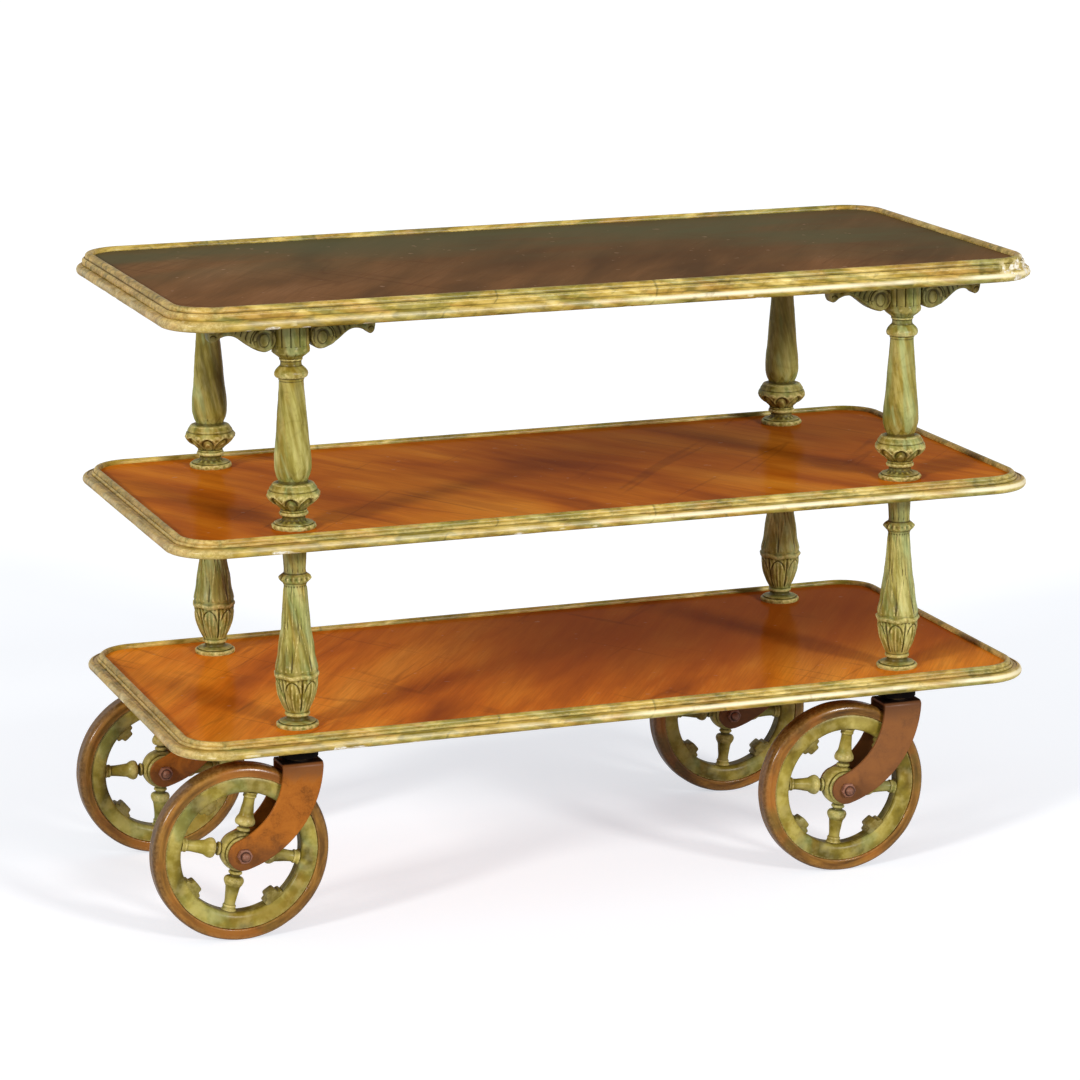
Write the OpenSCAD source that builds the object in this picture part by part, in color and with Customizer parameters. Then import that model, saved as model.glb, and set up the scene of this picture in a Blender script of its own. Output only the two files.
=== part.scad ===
// Three-tier serving trolley on four spoked swivel casters.
// Painted moulded rims hold polished boards, carved columns stand between them,
// scroll brackets wing the heads of the upper columns, and iron forks carry turned-spoke wheels.
// Axes: X along the trays, Y across, Z up. The casters are drawn trailing towards -X.

/* [Trays] */
// Length of each tray over its rim
tray_l = 1220; // [1150:10:1400]
// Width of each tray over its rim
tray_w = 580; // [576:2:700]
// Plan radius of the tray corners
corner_r = 71; // [60:1:100]
// Height of the top tray above the middle tray, underside to underside
top_gap = 292; // [280:1:340]
// Height of the middle tray above the bottom tray, underside to underside
middle_gap = 267; // [255:1:320]
// Clear height between the wheels and the underside of the bottom tray
wheel_room = 27; // [25:1:60]
// Depth of the top rim
top_rim_h = 31; // [28:1:40]
// Depth of the middle and bottom rims
shelf_rim_h = 22; // [21:1:30]
// Height of a rim's bead above the board
bead_over = 6; // [4.5:0.5:9]
// Distance from the rim's outer edge to the board
rim_w = 24; // [22:1:34]
// Width of the ledge under the board's edge
ledge_w = 12; // [6:1:20]
// Thickness of the ledge
ledge_h = 4; // [3:0.5:6]

/* [Columns] */
// Distance from a tray's end to the column axes
column_inset_x = 178; // [140:2:230]
// Distance from a tray's side to the column axes
column_inset_y = 83.5; // [70:0.5:85]
// Diameter of an upper column's foot
upper_foot_d = 58; // [52:1:62]
// Widest diameter of an upper column's leafy bulb
upper_bulb_d = 68; // [62:1:74]
// Widest diameter of an upper column's shaft
upper_shaft_d = 49; // [44:1:54]
// Diameter of an upper column's collar
collar_d = 44; // [40:1:50]
// Diameter of the fluted capital
capital_d = 48; // [44:1:54]
// Height of the fluted capital
capital_h = 43; // [36:1:50]
// Diameter of a lower column's foot
lower_foot_d = 56; // [50:1:60]
// Widest diameter of a lower column's leaf lip
lower_lip_d = 61; // [58:1:66]
// Widest diameter of a lower column's petalled bowl
lower_bowl_d = 56; // [50:1:57]
// Point-to-point diameter of the crown under a lower column's head
crown_d = 44; // [40:1:50]
// Number of leaves on a bulb and reeds on a shaft, round an upper column
leaf_n = 8; // [6:1:10]
// Width of the arched hollow in each leaf of the bulb
leaf_hollow_w = 19; // [14:0.5:21]
// Depth of the leaf hollows
leaf_hollow_depth = 3.4; // [2:0.2:4]
// Number of petals round a lower column
petal_n = 6; // [5:1:8]
// Number of points on a lower column's crown
crown_n = 16; // [12:2:20]
// Number of flutes round a capital
flute_n = 12; // [10:2:16]
// Diameter of the turned pins that join columns and boards
spigot_d = 20; // [16:1:22]
// Length of an upper column's pin inside the head of the column below
spigot_grip = 22; // [14:1:30]
// Depth of a pin that ends inside a board
spigot_blind = 11; // [8:1:12]

/* [Scroll brackets] */
// Reach of a bracket wing from the column axis
wing_reach = 112; // [100:1:125]
// Depth of a bracket wing at its volute
wing_depth = 41; // [36:1:44]
// Thickness of a bracket wing
wing_t = 30; // [24:1:36]
// Diameter of the volute
volute_d = 32; // [28:1:34]
// Depth of the carved channels on a wing
wing_carve = 2; // [1:0.5:3]
// Number of leaf lobes that fan out from the volute
lobe_n = 4; // [2:1:5]

/* [Casters] */
// Clearance between the tyre and the inner corner of the fork's crown
tyre_clear = 5.68; // [3:0.02:6]
// Width of a fork arm at its top
arm_w = 56; // [50:1:60]
// Thickness of the fork's flat iron
arm_t = 5; // [4:0.5:7]
// Radius of the rounded end of a fork arm
arm_end_r = 21; // [18:1:24]
// Height of the tyre's top above the upper face of the fork's crown
crown_drop = 2; // [1:1:7]
// Radius of the curve that the middle of a fork arm follows
arm_bend_r = 120; // [105:1:135]
// Side of the square mounting plate
plate_w = 64; // [58:1:72]
// Thickness of the mounting plate
plate_t = 5; // [4:0.5:7]
// Diameter of the kingpin
kingpin_d = 14; // [10:1:18]
// Diameter of the swivel washer and of its seat on the crown
boss_d = 36; // [30:1:42]
// Thickness of the swivel washer
washer_t = 3; // [2:0.5:4]
// Diameter of the axle
axle_d = 12; // [10:1:16]
// Width across flats of the nuts
nut_af = 18; // [18:1:22]
// Diameter of a wood screw's shank
screw_d = 4.5; // [3.5:0.5:5]
// Length of a wood screw
screw_l = 14; // [12:1:15]

/* [Wheels] */
// Diameter of a wheel over its tyre
wheel_d = 240; // [220:1:245]
// Width of a wheel over its tyre
wheel_t = 32; // [28:1:34]
// Depth of the tyre from tread to felly
tyre_h = 16; // [12:1:20]
// Depth of the felly from tyre to opening
felly_h = 22; // [18:1:26]
// Diameter of the hub's barrel
hub_d = 54; // [50:1:58]
// Length of the hub
hub_l = 36; // [34:1:40]
// Number of turned spokes
spoke_n = 4; // [3:1:5]
// Widest diameter of a spoke's knob
knob_d = 27; // [24:1:29]
// Diameter of a spoke's tenon
tenon_d = 10; // [8:1:12]
// Length of a spoke's tenon
tenon_l = 9; // [7:1:10]
// Width of the stepped block on the felly between two spokes
block_w = 26; // [20:1:30]
// Height of the stepped block
block_h = 12; // [8:1:14]

/* [Fits] */
// Radial clearance of a turning fit
run_c = 0.05; // [0.02:0.01:0.1]
// Clearance of a glued or seated fit
seat_c = 0.2; // [0.1:0.05:0.3]
// Clearance between pieces that move past each other face to face
face_c = 0.3; // [0.2:0.05:0.5]

/* [Hidden] */
$fn = 64;
wheel_r = wheel_d / 2;
bottom_z = wheel_d + wheel_room;
middle_z = bottom_z + middle_gap;
top_z = middle_z + top_gap;
px = tray_l / 2 - column_inset_x;
py = tray_w / 2 - column_inset_y;
crown_z = wheel_d - crown_drop;
crown_plate_bottom = crown_z - arm_t;
// The axle trails far enough behind the swivel axis for the tyre to clear the crown
trail = arm_w / 2 + sqrt(pow(wheel_r + tyre_clear, 2) - pow(crown_plate_bottom - wheel_r, 2));
// The wheels reach past the trays at -X, so the whole is moved to stand over its own middle
wheel_reach_x = px + trail + wheel_r;
shift_x = max(0, wheel_reach_x - tray_l / 2) / 2;

shelf_board_t = shelf_rim_h - bead_over;
top_board_t = top_rim_h - bead_over;
upper_h = top_gap - shelf_board_t;
lower_h = middle_gap - shelf_board_t;
upper_base_z = middle_z + shelf_board_t;
lower_base_z = bottom_z + shelf_board_t;

felly_or = wheel_r - tyre_h;
felly_ir = felly_or - felly_h;
felly_t = wheel_t - 2;
hub_r = hub_d / 2;
spoke_root_r = hub_r + face_c;
// The flat foot of a spoke stops short of the felly's round inner face by the rise of that curve
spoke_foot_half = 9;
spoke_foot_r = sqrt(pow(felly_ir, 2) - pow(spoke_foot_half, 2)) - face_c;
bush_wall = 3;
bush_or = axle_d / 2 + run_c + bush_wall;
fork_in = hub_l / 2 + 1;
fork_out = fork_in + arm_t;
nut_h = 7;
screw_pitch = plate_w - 18;
// The mounting plate's boss fills the room between the screws
plate_boss_d = screw_pitch * sqrt(2) - 2 * screw_d - 3;
volute_x = capital_d / 2 + volute_d / 2 - 1;
volute_y = volute_d / 2 - wing_depth;
eye_d = 11;
tail_r = 6.5;
arm_steps = 14;
boss_top = bottom_z - plate_t;
washer_top = crown_z + 5;
wheel_turns = [12, 7, 3, 5];

WOOD_PAINT = [0.72, 0.66, 0.32];
WOOD_DARK = [0.44, 0.30, 0.19];
WOOD_RED = [0.66, 0.36, 0.14];
TYRE_BROWN = [0.58, 0.36, 0.17];
IRON = [0.50, 0.31, 0.20];
IRON_DARK = [0.22, 0.17, 0.14];
BRONZE = [0.62, 0.47, 0.26];

// Corner name, direction in X, direction in Y, index
CORNERS = [["front_left", -1, -1, 0], ["front_right", 1, -1, 1], ["rear_left", -1, 1, 2], ["rear_right", 1, 1, 3]];
TRAYS = ["top_rim", "top_board", "middle_rim", "middle_board", "bottom_rim", "bottom_board"];
FRAME_KINDS = ["upper_column", "scroll_bracket", "lower_column"];
CASTER_KINDS = ["mounting_plate", "kingpin", "swivel_washer", "fork", "axle"];
WHEEL_KINDS = ["hub", "hub_bush", "spokes", "felly", "tyre"];
KINDS = concat(FRAME_KINDS, CASTER_KINDS, WHEEL_KINDS);

// Points along an elliptical arc
function arc(cx, cy, rx, ry, a0, a1, n) =
    [for (i = [0:n]) let(a = a0 + (a1 - a0) * i / n) [cx + rx * cos(a), cy + ry * sin(a)]];

// A rounded bulge on a turned piece, between two heights
function bulge(z0, z1, r0, r1, n = 8) =
    [for (i = [0:n]) [r0 + (r1 - r0) * sin(180 * i / n), z0 + (z1 - z0) * i / n]];

// One span of a smooth curve through four points
function span(a, b, c, d, t) =
    0.5 * (2 * b + (c - a) * t + (2 * a - 5 * b + 4 * c - d) * t * t + (3 * b - a - 3 * c + d) * t * t * t);

// A smooth curve through every point of a list
function smooth(p, n = 4) = let(last = len(p) - 1) concat(
    [for (i = [0:last - 1], k = [0:n - 1])
        span(p[max(i - 1, 0)], p[i], p[i + 1], p[min(i + 2, last)], k / n)],
    [p[last]]);

module at_corner(c, z) {
    translate([shift_x + c[1] * px, c[2] * py, z]) children();
}

// Rims

// Section of a rim: distance in from the outer edge, height above the underside
function rim_section(h, nose, step, bead_w, groove) = let(
        bead_c = rim_w - bead_w / 2,
        bead_z = h - bead_over + 0.6,
        step_u = rim_w - bead_w - step,
        step_z = bead_z - groove - step) concat(
    [[rim_w + ledge_w, 0], [nose + 2, 0]],
    arc(nose, nose, nose, nose, 270, 90, 10),
    [[step_u, nose * 2]],
    arc(step_u + step * 0.8, step_z, step * 0.8, step, 180, 90, 5),
    [[rim_w - bead_w, bead_z - groove]],
    arc(bead_c, bead_z, bead_w / 2, h - bead_z, 180, 0, 10),
    [[rim_w, ledge_h], [rim_w + ledge_w, ledge_h]]);

module rim(h, nose, step, bead_w, groove) {
    across = [for (p = rim_section(h, nose, step, bead_w, groove)) [corner_r - p[0], p[1]]];
    long = tray_l - 2 * corner_r;
    wide = tray_w - 2 * corner_r;
    for (turn = [0, 180]) {
        rotate([0, 0, turn]) {
            translate([long / 2, wide / 2, 0]) rotate_extrude(angle = 90, $fn = 96) polygon(across);
            translate([-long / 2, wide / 2, 0]) rotate([0, 0, 90]) rotate_extrude(angle = 90, $fn = 96) polygon(across);
            translate([-long / 2, wide / 2, 0]) rotate([90, 0, 90]) linear_extrude(long) polygon(across);
            translate([long / 2, wide / 2, 0]) rotate([90, 0, 0]) linear_extrude(wide) polygon(across);
        }
    }
}

module top_rim() {
    color(WOOD_PAINT) translate([shift_x, 0, top_z]) rim(top_rim_h, nose = 7.5, step = 4, bead_w = 12, groove = 2);
}

module middle_rim() {
    color(WOOD_PAINT) translate([shift_x, 0, middle_z]) rim(shelf_rim_h, nose = 6.5, step = 3, bead_w = 8.5, groove = 0.5);
}

module bottom_rim() {
    color(WOOD_PAINT) translate([shift_x, 0, bottom_z]) rim(shelf_rim_h, nose = 6.5, step = 3, bead_w = 8.5, groove = 0.5);
}

// Boards

module rounded_plate(l, w, r, h) {
    linear_extrude(h) union() {
        square([l - 2 * r, w], center = true);
        square([l, w - 2 * r], center = true);
        for (sx = [-1, 1], sy = [-1, 1]) translate([sx * (l / 2 - r), sy * (w / 2 - r)]) circle(r, $fn = 96);
    }
}

// A board rests on the rim's ledge with a step cut round its lower edge
module board(t) {
    over = rim_w + seat_c;
    under = rim_w + ledge_w + seat_c;
    translate([0, 0, ledge_h]) rounded_plate(tray_l - 2 * over, tray_w - 2 * over, corner_r - over, t - ledge_h);
    rounded_plate(tray_l - 2 * under, tray_w - 2 * under, corner_r - under, ledge_h);
}

module spigot_holes(z, depth) {
    for (c = CORNERS) {
        translate([c[1] * px, c[2] * py, z]) cylinder(d = spigot_d + 2 * seat_c, h = depth);
    }
}

module plate_screw_holes() {
    for (c = CORNERS, sx = [-1, 1], sy = [-1, 1]) {
        translate([c[1] * px + sx * screw_pitch / 2, c[2] * py + sy * screw_pitch / 2, -1])
            cylinder(d = screw_d + 2 * seat_c, h = screw_l - plate_t + 1 + seat_c, $fn = 24);
    }
}

module top_board() {
    color(WOOD_DARK) translate([shift_x, 0, top_z]) difference() {
        board(top_board_t);
        spigot_holes(-1, spigot_blind + 1 + seat_c);
    }
}

module middle_board() {
    color(WOOD_RED) translate([shift_x, 0, middle_z]) difference() {
        board(shelf_board_t);
        spigot_holes(-1, shelf_board_t + 2);
    }
}

module bottom_board() {
    color(WOOD_RED) translate([shift_x, 0, bottom_z]) difference() {
        board(shelf_board_t);
        spigot_holes(shelf_board_t - spigot_blind - seat_c, spigot_blind + 1 + seat_c);
        plate_screw_holes();
    }
}

// Columns

// Outline of an upper column from its foot to the top of its capital
function upper_outline() = let(
        foot = upper_foot_d / 2, bulb = upper_bulb_d / 2, shaft = upper_shaft_d / 2,
        cap = capital_d / 2, top = upper_h, cap_z = upper_h - capital_h,
        bell_z = cap_z - 8, neck_z = cap_z - 17, collar_z = cap_z - 27,
        shaft_z = 62, rise = collar_z - 10 - shaft_z) concat(
    [[0, 0]],
    bulge(0, 6, foot - 1.5, foot, 6),
    [[foot - 3.5, 6.2], [foot - 3.5, 8]],
    arc(foot - 3.5, 17, foot - 18.8, 8, 270, 180, 5),
    bulge(17.5, 23, 16.5, 19.2, 5),
    smooth([[17.6, 23.6], [22, 29], [bulb - 3, 37], [bulb, 44], [bulb - 2.4, 51], [bulb - 7.4, 59.5]], 3),
    [[shaft - 4, 60.5]],
    smooth([[shaft - 4.1, shaft_z], [shaft - 1.6, shaft_z + rise * 0.07], [shaft, shaft_z + rise * 0.14],
        [shaft - 0.6, shaft_z + rise * 0.26], [shaft - 2.6, shaft_z + rise * 0.43],
        [shaft - 4.8, shaft_z + rise * 0.66], [shaft - 8.5, shaft_z + rise]], 2),
    bulge(collar_z - 9, collar_z + 8, shaft - 8.5, collar_d / 2, 8),
    [[13.4, collar_z + 8.5], [13.4, neck_z + 3]],
    bulge(neck_z + 3.5, neck_z + 7, 14.6, 16, 4),
    smooth([[15.5, bell_z], [18, bell_z + 4], [cap - 1, cap_z - 0.5]], 3),
    [[cap, cap_z + 1], [cap, top], [0, top]]);

// Grooves between the reeds of a shaft, leaning with its taper
module reed_grooves(z0, r0, z1, r1, n, d) {
    lean = atan((r0 - r1) / (z1 - z0));
    long = norm([r0 - r1, z1 - z0]);
    for (i = [0:n - 1]) {
        rotate([0, 0, (i + 0.5) * 360 / n]) translate([r0 + d * 0.22, 0, z0]) rotate([0, -lean, 0]) {
            cylinder(d = d, h = long, $fn = 24);
            sphere(d = d, $fn = 24);
        }
    }
}

// Arched hollows cut square to a surface that leans outwards, between the ribs of its leaves
module leaf_hollows(z, r, lean, n, d, depth) {
    for (i = [0:n - 1]) {
        rotate([0, 0, (i + 0.5) * 360 / n]) translate([r, 0, z]) rotate([0, 90 + lean, 0])
            translate([0, 0, -depth]) cylinder(d = d, h = depth + 8, $fn = 32);
    }
}

module capital_flutes() {
    for (i = [0:flute_n - 1]) {
        rotate([0, 0, (i + 0.5) * 360 / flute_n]) translate([capital_d / 2 + 1, 0, upper_h - capital_h + 6]) {
            cylinder(d = 6, h = capital_h, $fn = 24);
            sphere(d = 6, $fn = 24);
        }
    }
}

module upper_column(c) {
    bulb = upper_bulb_d / 2;
    shaft = upper_shaft_d / 2;
    color(WOOD_PAINT) at_corner(c, upper_base_z) union() {
        difference() {
            union() {
                rotate_extrude() polygon(upper_outline());
                for (i = [0:leaf_n - 1]) {
                    rotate([0, 0, i * 360 / leaf_n]) translate([bulb - 3.5, 0, 45]) sphere(d = 9, $fn = 24);
                }
            }
            reed_grooves(80, shaft, upper_h - capital_h - 42, shaft - 8, leaf_n, 5);
            leaf_hollows(34, bulb - 6.2, 40, leaf_n, leaf_hollow_w, leaf_hollow_depth);
            capital_flutes();
        }
        translate([0, 0, -shelf_board_t - spigot_grip]) cylinder(d = spigot_d, h = shelf_board_t + spigot_grip + 1);
        translate([0, 0, upper_h - 1]) cylinder(d = spigot_d, h = spigot_blind + 1);
    }
}

// Outline of a lower column from its foot to its head
function lower_outline() = let(
        foot = lower_foot_d / 2, lip = lower_lip_d / 2, bowl = lower_bowl_d / 2, top = lower_h,
        crown_mid = lower_h - 50, shaft_z = 78, rise = crown_mid - 8 - shaft_z) concat(
    [[0, 0]],
    bulge(0, 5.5, foot - 1.4, foot, 6),
    [[foot - 4, 5.7], [foot - 4, 7.5]],
    arc(foot - 4, 14.5, foot - 18, 6.5, 270, 180, 5),
    bulge(15, 20.5, 14.5, 16.6, 5),
    smooth([[15.6, 21.2], [21.7, 33], [bowl - 2.2, 44], [bowl, 58], [bowl, 67]], 3),
    bulge(67.5, 76, bowl, lip, 6),
    smooth([[lip - 3.2, shaft_z], [lip - 6.2, shaft_z + rise * 0.15], [lip - 8.6, shaft_z + rise * 0.3],
        [lip - 11, shaft_z + rise * 0.54], [17, shaft_z + rise * 0.8], [15.6, shaft_z + rise]], 2),
    [[15.6, crown_mid + 8]],
    smooth([[14.2, crown_mid + 13], [15, crown_mid + 28], [15.8, top]], 3),
    [[0, top]]);

// A ring of leaf points, bevelled above and below
module point_ring(z, h, r_in, r_out, n) {
    translate([0, 0, z]) intersection() {
        linear_extrude(h) polygon([for (i = [0:2 * n - 1]) let(r = i % 2 == 0 ? r_out : r_in + (r_out - r_in) * 0.35)
            [r * cos(180 * i / n), r * sin(180 * i / n)]]);
        rotate_extrude() polygon([[0, 0], [r_in, 0], [r_out, h / 2], [r_in, h], [0, h]]);
    }
}

module lower_column(c) {
    bowl = lower_bowl_d / 2;
    lip = lower_lip_d / 2;
    color(WOOD_PAINT) at_corner(c, lower_base_z) union() {
        difference() {
            union() {
                rotate_extrude() polygon(lower_outline());
                point_ring(lower_h - 56, 12, 14.5, crown_d / 2, crown_n);
            }
            reed_grooves(84, lip - 4.4, lower_h - 64, 16.4, petal_n, 7);
            leaf_hollows(61, bowl, 3, petal_n, 11, 2.6);
            reed_grooves(25, bowl - 11, 44, bowl - 3.4, petal_n, 7);
            reed_grooves(44, bowl - 3.4, 62, bowl - 1, petal_n, 7);
            translate([0, 0, lower_h - spigot_grip - seat_c]) cylinder(d = spigot_d + 2 * seat_c, h = spigot_grip + 1);
        }
        translate([0, 0, -spigot_blind]) cylinder(d = spigot_d, h = spigot_blind + 1);
    }
}

// Scroll brackets

// Side view of one wing, reaching along +X with the tray's underside at Y = 0
module wing_outline() {
    tail_y = -wing_depth * 0.46;
    saddle_x = wing_reach - 23;
    saddle_y = tail_y + 2.5;
    union() {
        translate([volute_x, volute_y]) circle(d = volute_d);
        translate([wing_reach - tail_r, tail_y]) circle(tail_r);
        polygon(concat(
            [[capital_d / 2 - 1, 0], [capital_d / 2 - 1, volute_y]],
            [[volute_x, volute_y], [volute_x + volute_d * 0.22, volute_y - volute_d * 0.447]],
            smooth([[volute_x + volute_d * 0.3, volute_y - volute_d * 0.4], [volute_x + 20, volute_y - 5],
                [saddle_x - 10, saddle_y - 3.4], [saddle_x, saddle_y], [wing_reach - tail_r - 5, tail_y - 2]], 4),
            [[wing_reach - tail_r, tail_y - tail_r], [wing_reach - tail_r, tail_y], [wing_reach, tail_y], [wing_reach, 0]]));
    }
}

module ring_outline(r, w) {
    difference() {
        circle(r + w / 2);
        circle(r - w / 2);
    }
}

// Rings round the volute's eye that cut the scroll and the leaf lobes, and one round the tail's curl
module wing_channels() {
    for (lobe = [0:lobe_n]) {
        translate([volute_x, volute_y]) ring_outline(volute_d * (0.26 + 0.22 * lobe), 2.2);
    }
    translate([wing_reach - tail_r, -wing_depth * 0.46]) ring_outline(tail_r * 0.55, 1.4);
}

module wing() {
    difference() {
        union() {
            rotate([90, 0, 0]) linear_extrude(wing_t, center = true) wing_outline();
            for (s = [-1, 1]) translate([volute_x, s * (wing_t / 2 - 4), volute_y]) sphere(d = eye_d);
        }
        for (s = [-1, 1]) {
            translate([0, s * (wing_t / 2 - wing_carve / 2 + 0.5), 0])
                rotate([90, 0, 0]) linear_extrude(wing_carve + 1, center = true) wing_channels();
        }
        translate([0, 0, -wing_depth - 5]) cylinder(r = capital_d / 2 + seat_c, h = wing_depth + 6);
    }
}

module scroll_bracket(c) {
    color(WOOD_PAINT) at_corner(c, top_z) for (turn = [0, 180]) rotate([0, 0, turn]) wing();
}

// Casters

module screw_places() {
    for (sx = [-1, 1], sy = [-1, 1]) translate([sx * screw_pitch / 2, sy * screw_pitch / 2, 0]) children();
}

module mounting_plate(c) {
    color(IRON_DARK) at_corner(c, 0) difference() {
        union() {
            translate([0, 0, boss_top]) linear_extrude(plate_t) difference() {
                square(plate_w, center = true);
                for (sx = [-1, 1], sy = [-1, 1]) translate([sx * plate_w / 2, sy * plate_w / 2]) circle(6);
            }
            translate([0, 0, washer_top]) cylinder(d = plate_boss_d, h = boss_top - washer_top + 1);
        }
        translate([0, 0, washer_top - 1]) cylinder(d = kingpin_d + 2 * seat_c, h = bottom_z);
        translate([0, 0, bottom_z - 3 - seat_c]) cylinder(d = kingpin_d + 8 + 2 * seat_c, h = 10);
        screw_places() translate([0, 0, boss_top - 1]) {
            cylinder(d = screw_d + 2 * seat_c, h = plate_t + 2, $fn = 24);
            cylinder(r1 = screw_d + 1 + seat_c, r2 = screw_d / 2 + seat_c, h = 4, $fn = 24);
        }
    }
}

// Wood screws, driven up through the mounting plates
module plate_screws() {
    color(IRON_DARK) for (c = CORNERS) at_corner(c, boss_top) screw_places() {
        cylinder(r1 = screw_d, r2 = screw_d / 2, h = 2.8, $fn = 24);
        cylinder(d = screw_d, h = screw_l, $fn = 24);
    }
}

// The kingpin hangs from a head let into the mounting plate and is held by a nut under the crown
module kingpin(c) {
    color(IRON_DARK) at_corner(c, 0) {
        translate([0, 0, crown_plate_bottom - face_c - nut_h - 2])
            cylinder(d = kingpin_d, h = bottom_z - crown_plate_bottom + face_c + nut_h + 2 - seat_c);
        translate([0, 0, bottom_z - 3]) cylinder(d = kingpin_d + 8, h = 3 - seat_c);
        translate([0, 0, crown_plate_bottom - face_c - nut_h]) cylinder(d = (kingpin_d + 6) / cos(30), h = nut_h, $fn = 6);
    }
}

module swivel_washer(c) {
    color(BRONZE) at_corner(c, washer_top - washer_t) difference() {
        cylinder(d = boss_d, h = washer_t);
        translate([0, 0, -1]) cylinder(d = kingpin_d + 2 * seat_c, h = washer_t + 2);
    }
}

// Side view of the fork, with the swivel axis at X = 0 and the floor at Y = 0
module fork_side() {
    bend_y = wheel_r + sqrt(pow(arm_bend_r, 2) - pow(arm_bend_r - trail, 2));
    inner = arm_edge(-1, bend_y);
    union() {
        polygon(concat([[arm_w / 2, crown_z]], arm_edge(1, bend_y), [for (i = [arm_steps:-1:0]) inner[i]],
            [[-arm_w / 2, crown_z]]));
        translate([-trail, wheel_r]) circle(arm_end_r);
    }
}

// One edge of the curved arm: the band narrows from the crown to the axle
function arm_edge(side, bend_y) = let(end_a = acos((arm_bend_r - trail) / arm_bend_r))
    [for (i = [0:arm_steps]) let(t = i / arm_steps, a = -end_a * t, half = arm_w / 2 + (arm_end_r - arm_w / 2) * t)
        [-arm_bend_r + (arm_bend_r + side * half) * cos(a), bend_y + (arm_bend_r + side * half) * sin(a)]];

// End view of the fork: a flat bar bent into an inverted U
module fork_end() {
    difference() {
        union() {
            translate([-fork_out, 0]) square([2 * fork_out, crown_z - arm_t]);
            translate([-fork_out + arm_t, 0]) square([2 * fork_in, crown_z]);
            for (s = [-1, 1]) translate([s * fork_in, crown_z - arm_t]) circle(arm_t);
        }
        translate([-fork_in, -1]) square([2 * fork_in, crown_z - arm_t + 1]);
    }
}

module fork(c) {
    color(IRON) at_corner(c, 0) difference() {
        union() {
            intersection() {
                rotate([90, 0, 90]) linear_extrude(4 * wheel_r, center = true) fork_end();
                rotate([90, 0, 0]) linear_extrude(4 * fork_out, center = true) fork_side();
            }
            translate([0, 0, crown_z - 1]) cylinder(d = boss_d, h = washer_top - washer_t - face_c - crown_z + 1);
        }
        translate([0, 0, crown_z - arm_t - 1]) cylinder(d = kingpin_d + 2 * run_c, h = 30);
        translate([-trail, 0, wheel_r]) rotate([90, 0, 0]) cylinder(d = axle_d + 2 * seat_c, h = 4 * fork_out, center = true);
    }
}

// The axle bolt has a domed head outside the near arm and a nut outside the far arm
module axle(c) {
    color(IRON) at_corner(c, wheel_r) translate([-trail, 0, 0]) {
        rotate([90, 0, 0]) cylinder(d = axle_d, h = 2 * (fork_out + nut_h), center = true);
        for (s = [-1, 1]) translate([0, s * (fork_out + seat_c + nut_h / 2), 0]) rotate([90, 0, 0])
            cylinder(d = nut_af / cos(30), h = nut_h, center = true, $fn = 6);
        for (s = [-1, 1]) translate([0, s * (fork_out + nut_h), 0]) sphere(d = axle_d);
    }
}

// Wheels

module at_axle(c) {
    at_corner(c, wheel_r) translate([-trail, 0, 0]) rotate([90, 0, 0]) rotate([0, 0, -wheel_turns[c[3]]]) children();
}

// Half section of the hub: radius, distance along the axle
function hub_section() = let(l = hub_l / 2, bore = bush_or + seat_c) concat(
    [[bore, -l], [hub_r - 7, -l]],
    smooth([[hub_r - 5, -l + 1], [hub_r - 4, -l + 3], [hub_r - 5, -l + 5]], 3),
    [[hub_r - 6, -l + 6], [hub_r - 2, -l + 7]],
    arc(hub_r - 6, 0, 6, l - 7.5, -70, 70, 8),
    [[hub_r - 2, l - 7], [hub_r - 6, l - 6]],
    smooth([[hub_r - 5, l - 5], [hub_r - 4, l - 3], [hub_r - 5, l - 1]], 3),
    [[hub_r - 7, l], [bore, l]]);

module spoke_sockets(r0, r1) {
    for (i = [0:spoke_n - 1]) {
        rotate([0, 0, 90 + i * 360 / spoke_n]) translate([r0, 0, 0]) rotate([0, 90, 0])
            cylinder(d = tenon_d + 2 * seat_c, h = r1 - r0);
    }
}

module hub(c) {
    color(WOOD_PAINT) at_axle(c) difference() {
        rotate_extrude() polygon(hub_section());
        spoke_sockets(spoke_root_r - tenon_l - seat_c, hub_r + 1);
    }
}

module hub_bush(c) {
    color(BRONZE) at_axle(c) difference() {
        cylinder(r = bush_or, h = hub_l + 1, center = true);
        cylinder(r = axle_d / 2 + run_c, h = hub_l + 3, center = true);
    }
}

// Outline of a spoke from the hub outwards
function spoke_outline() = let(r0 = spoke_root_r, foot = spoke_foot_r, k = knob_d / 2) concat(
    [[0, r0 - tenon_l], [tenon_d / 2, r0 - tenon_l], [tenon_d / 2, r0], [8, r0]],
    bulge(r0 + 0.2, r0 + 4.5, 7.6, 9, 4),
    [[7, r0 + 5], [7, r0 + 7]],
    smooth([[k - 4, r0 + 8], [k, r0 + 13], [k - 1.5, r0 + 17], [k - 4, r0 + 20]], 3),
    smooth([[k - 3.8, r0 + 21], [k - 4.4, r0 + 28], [6.6, foot - 9], [6, foot - 5]], 3),
    [[7.4, foot - 4.4], [7.4, foot - 2.6]],
    arc(spoke_foot_half, foot - 2.4, 2, 2, 180, 90, 3),
    [[spoke_foot_half, foot], [tenon_d / 2, foot], [tenon_d / 2, foot + tenon_l], [0, foot + tenon_l]]);

module spokes(c) {
    color(WOOD_PAINT) at_axle(c) for (i = [0:spoke_n - 1]) {
        rotate([0, 0, 90 + i * 360 / spoke_n]) rotate([0, 90, 0]) rotate_extrude() polygon(spoke_outline());
    }
}

// Half section of the felly
function felly_section() = let(h = felly_t / 2, ri = felly_ir, ro = felly_or - seat_c) concat(
    [[ro, -h], [ri + 6, -h]],
    arc(ri + 3, -h + 2.5, 3, 2.5, -90, -180, 4),
    [[ri, h - 2.5]],
    arc(ri + 3, h - 2.5, 3, 2.5, 180, 90, 4),
    [[ri + 6, h], [ro, h]]);

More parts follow.
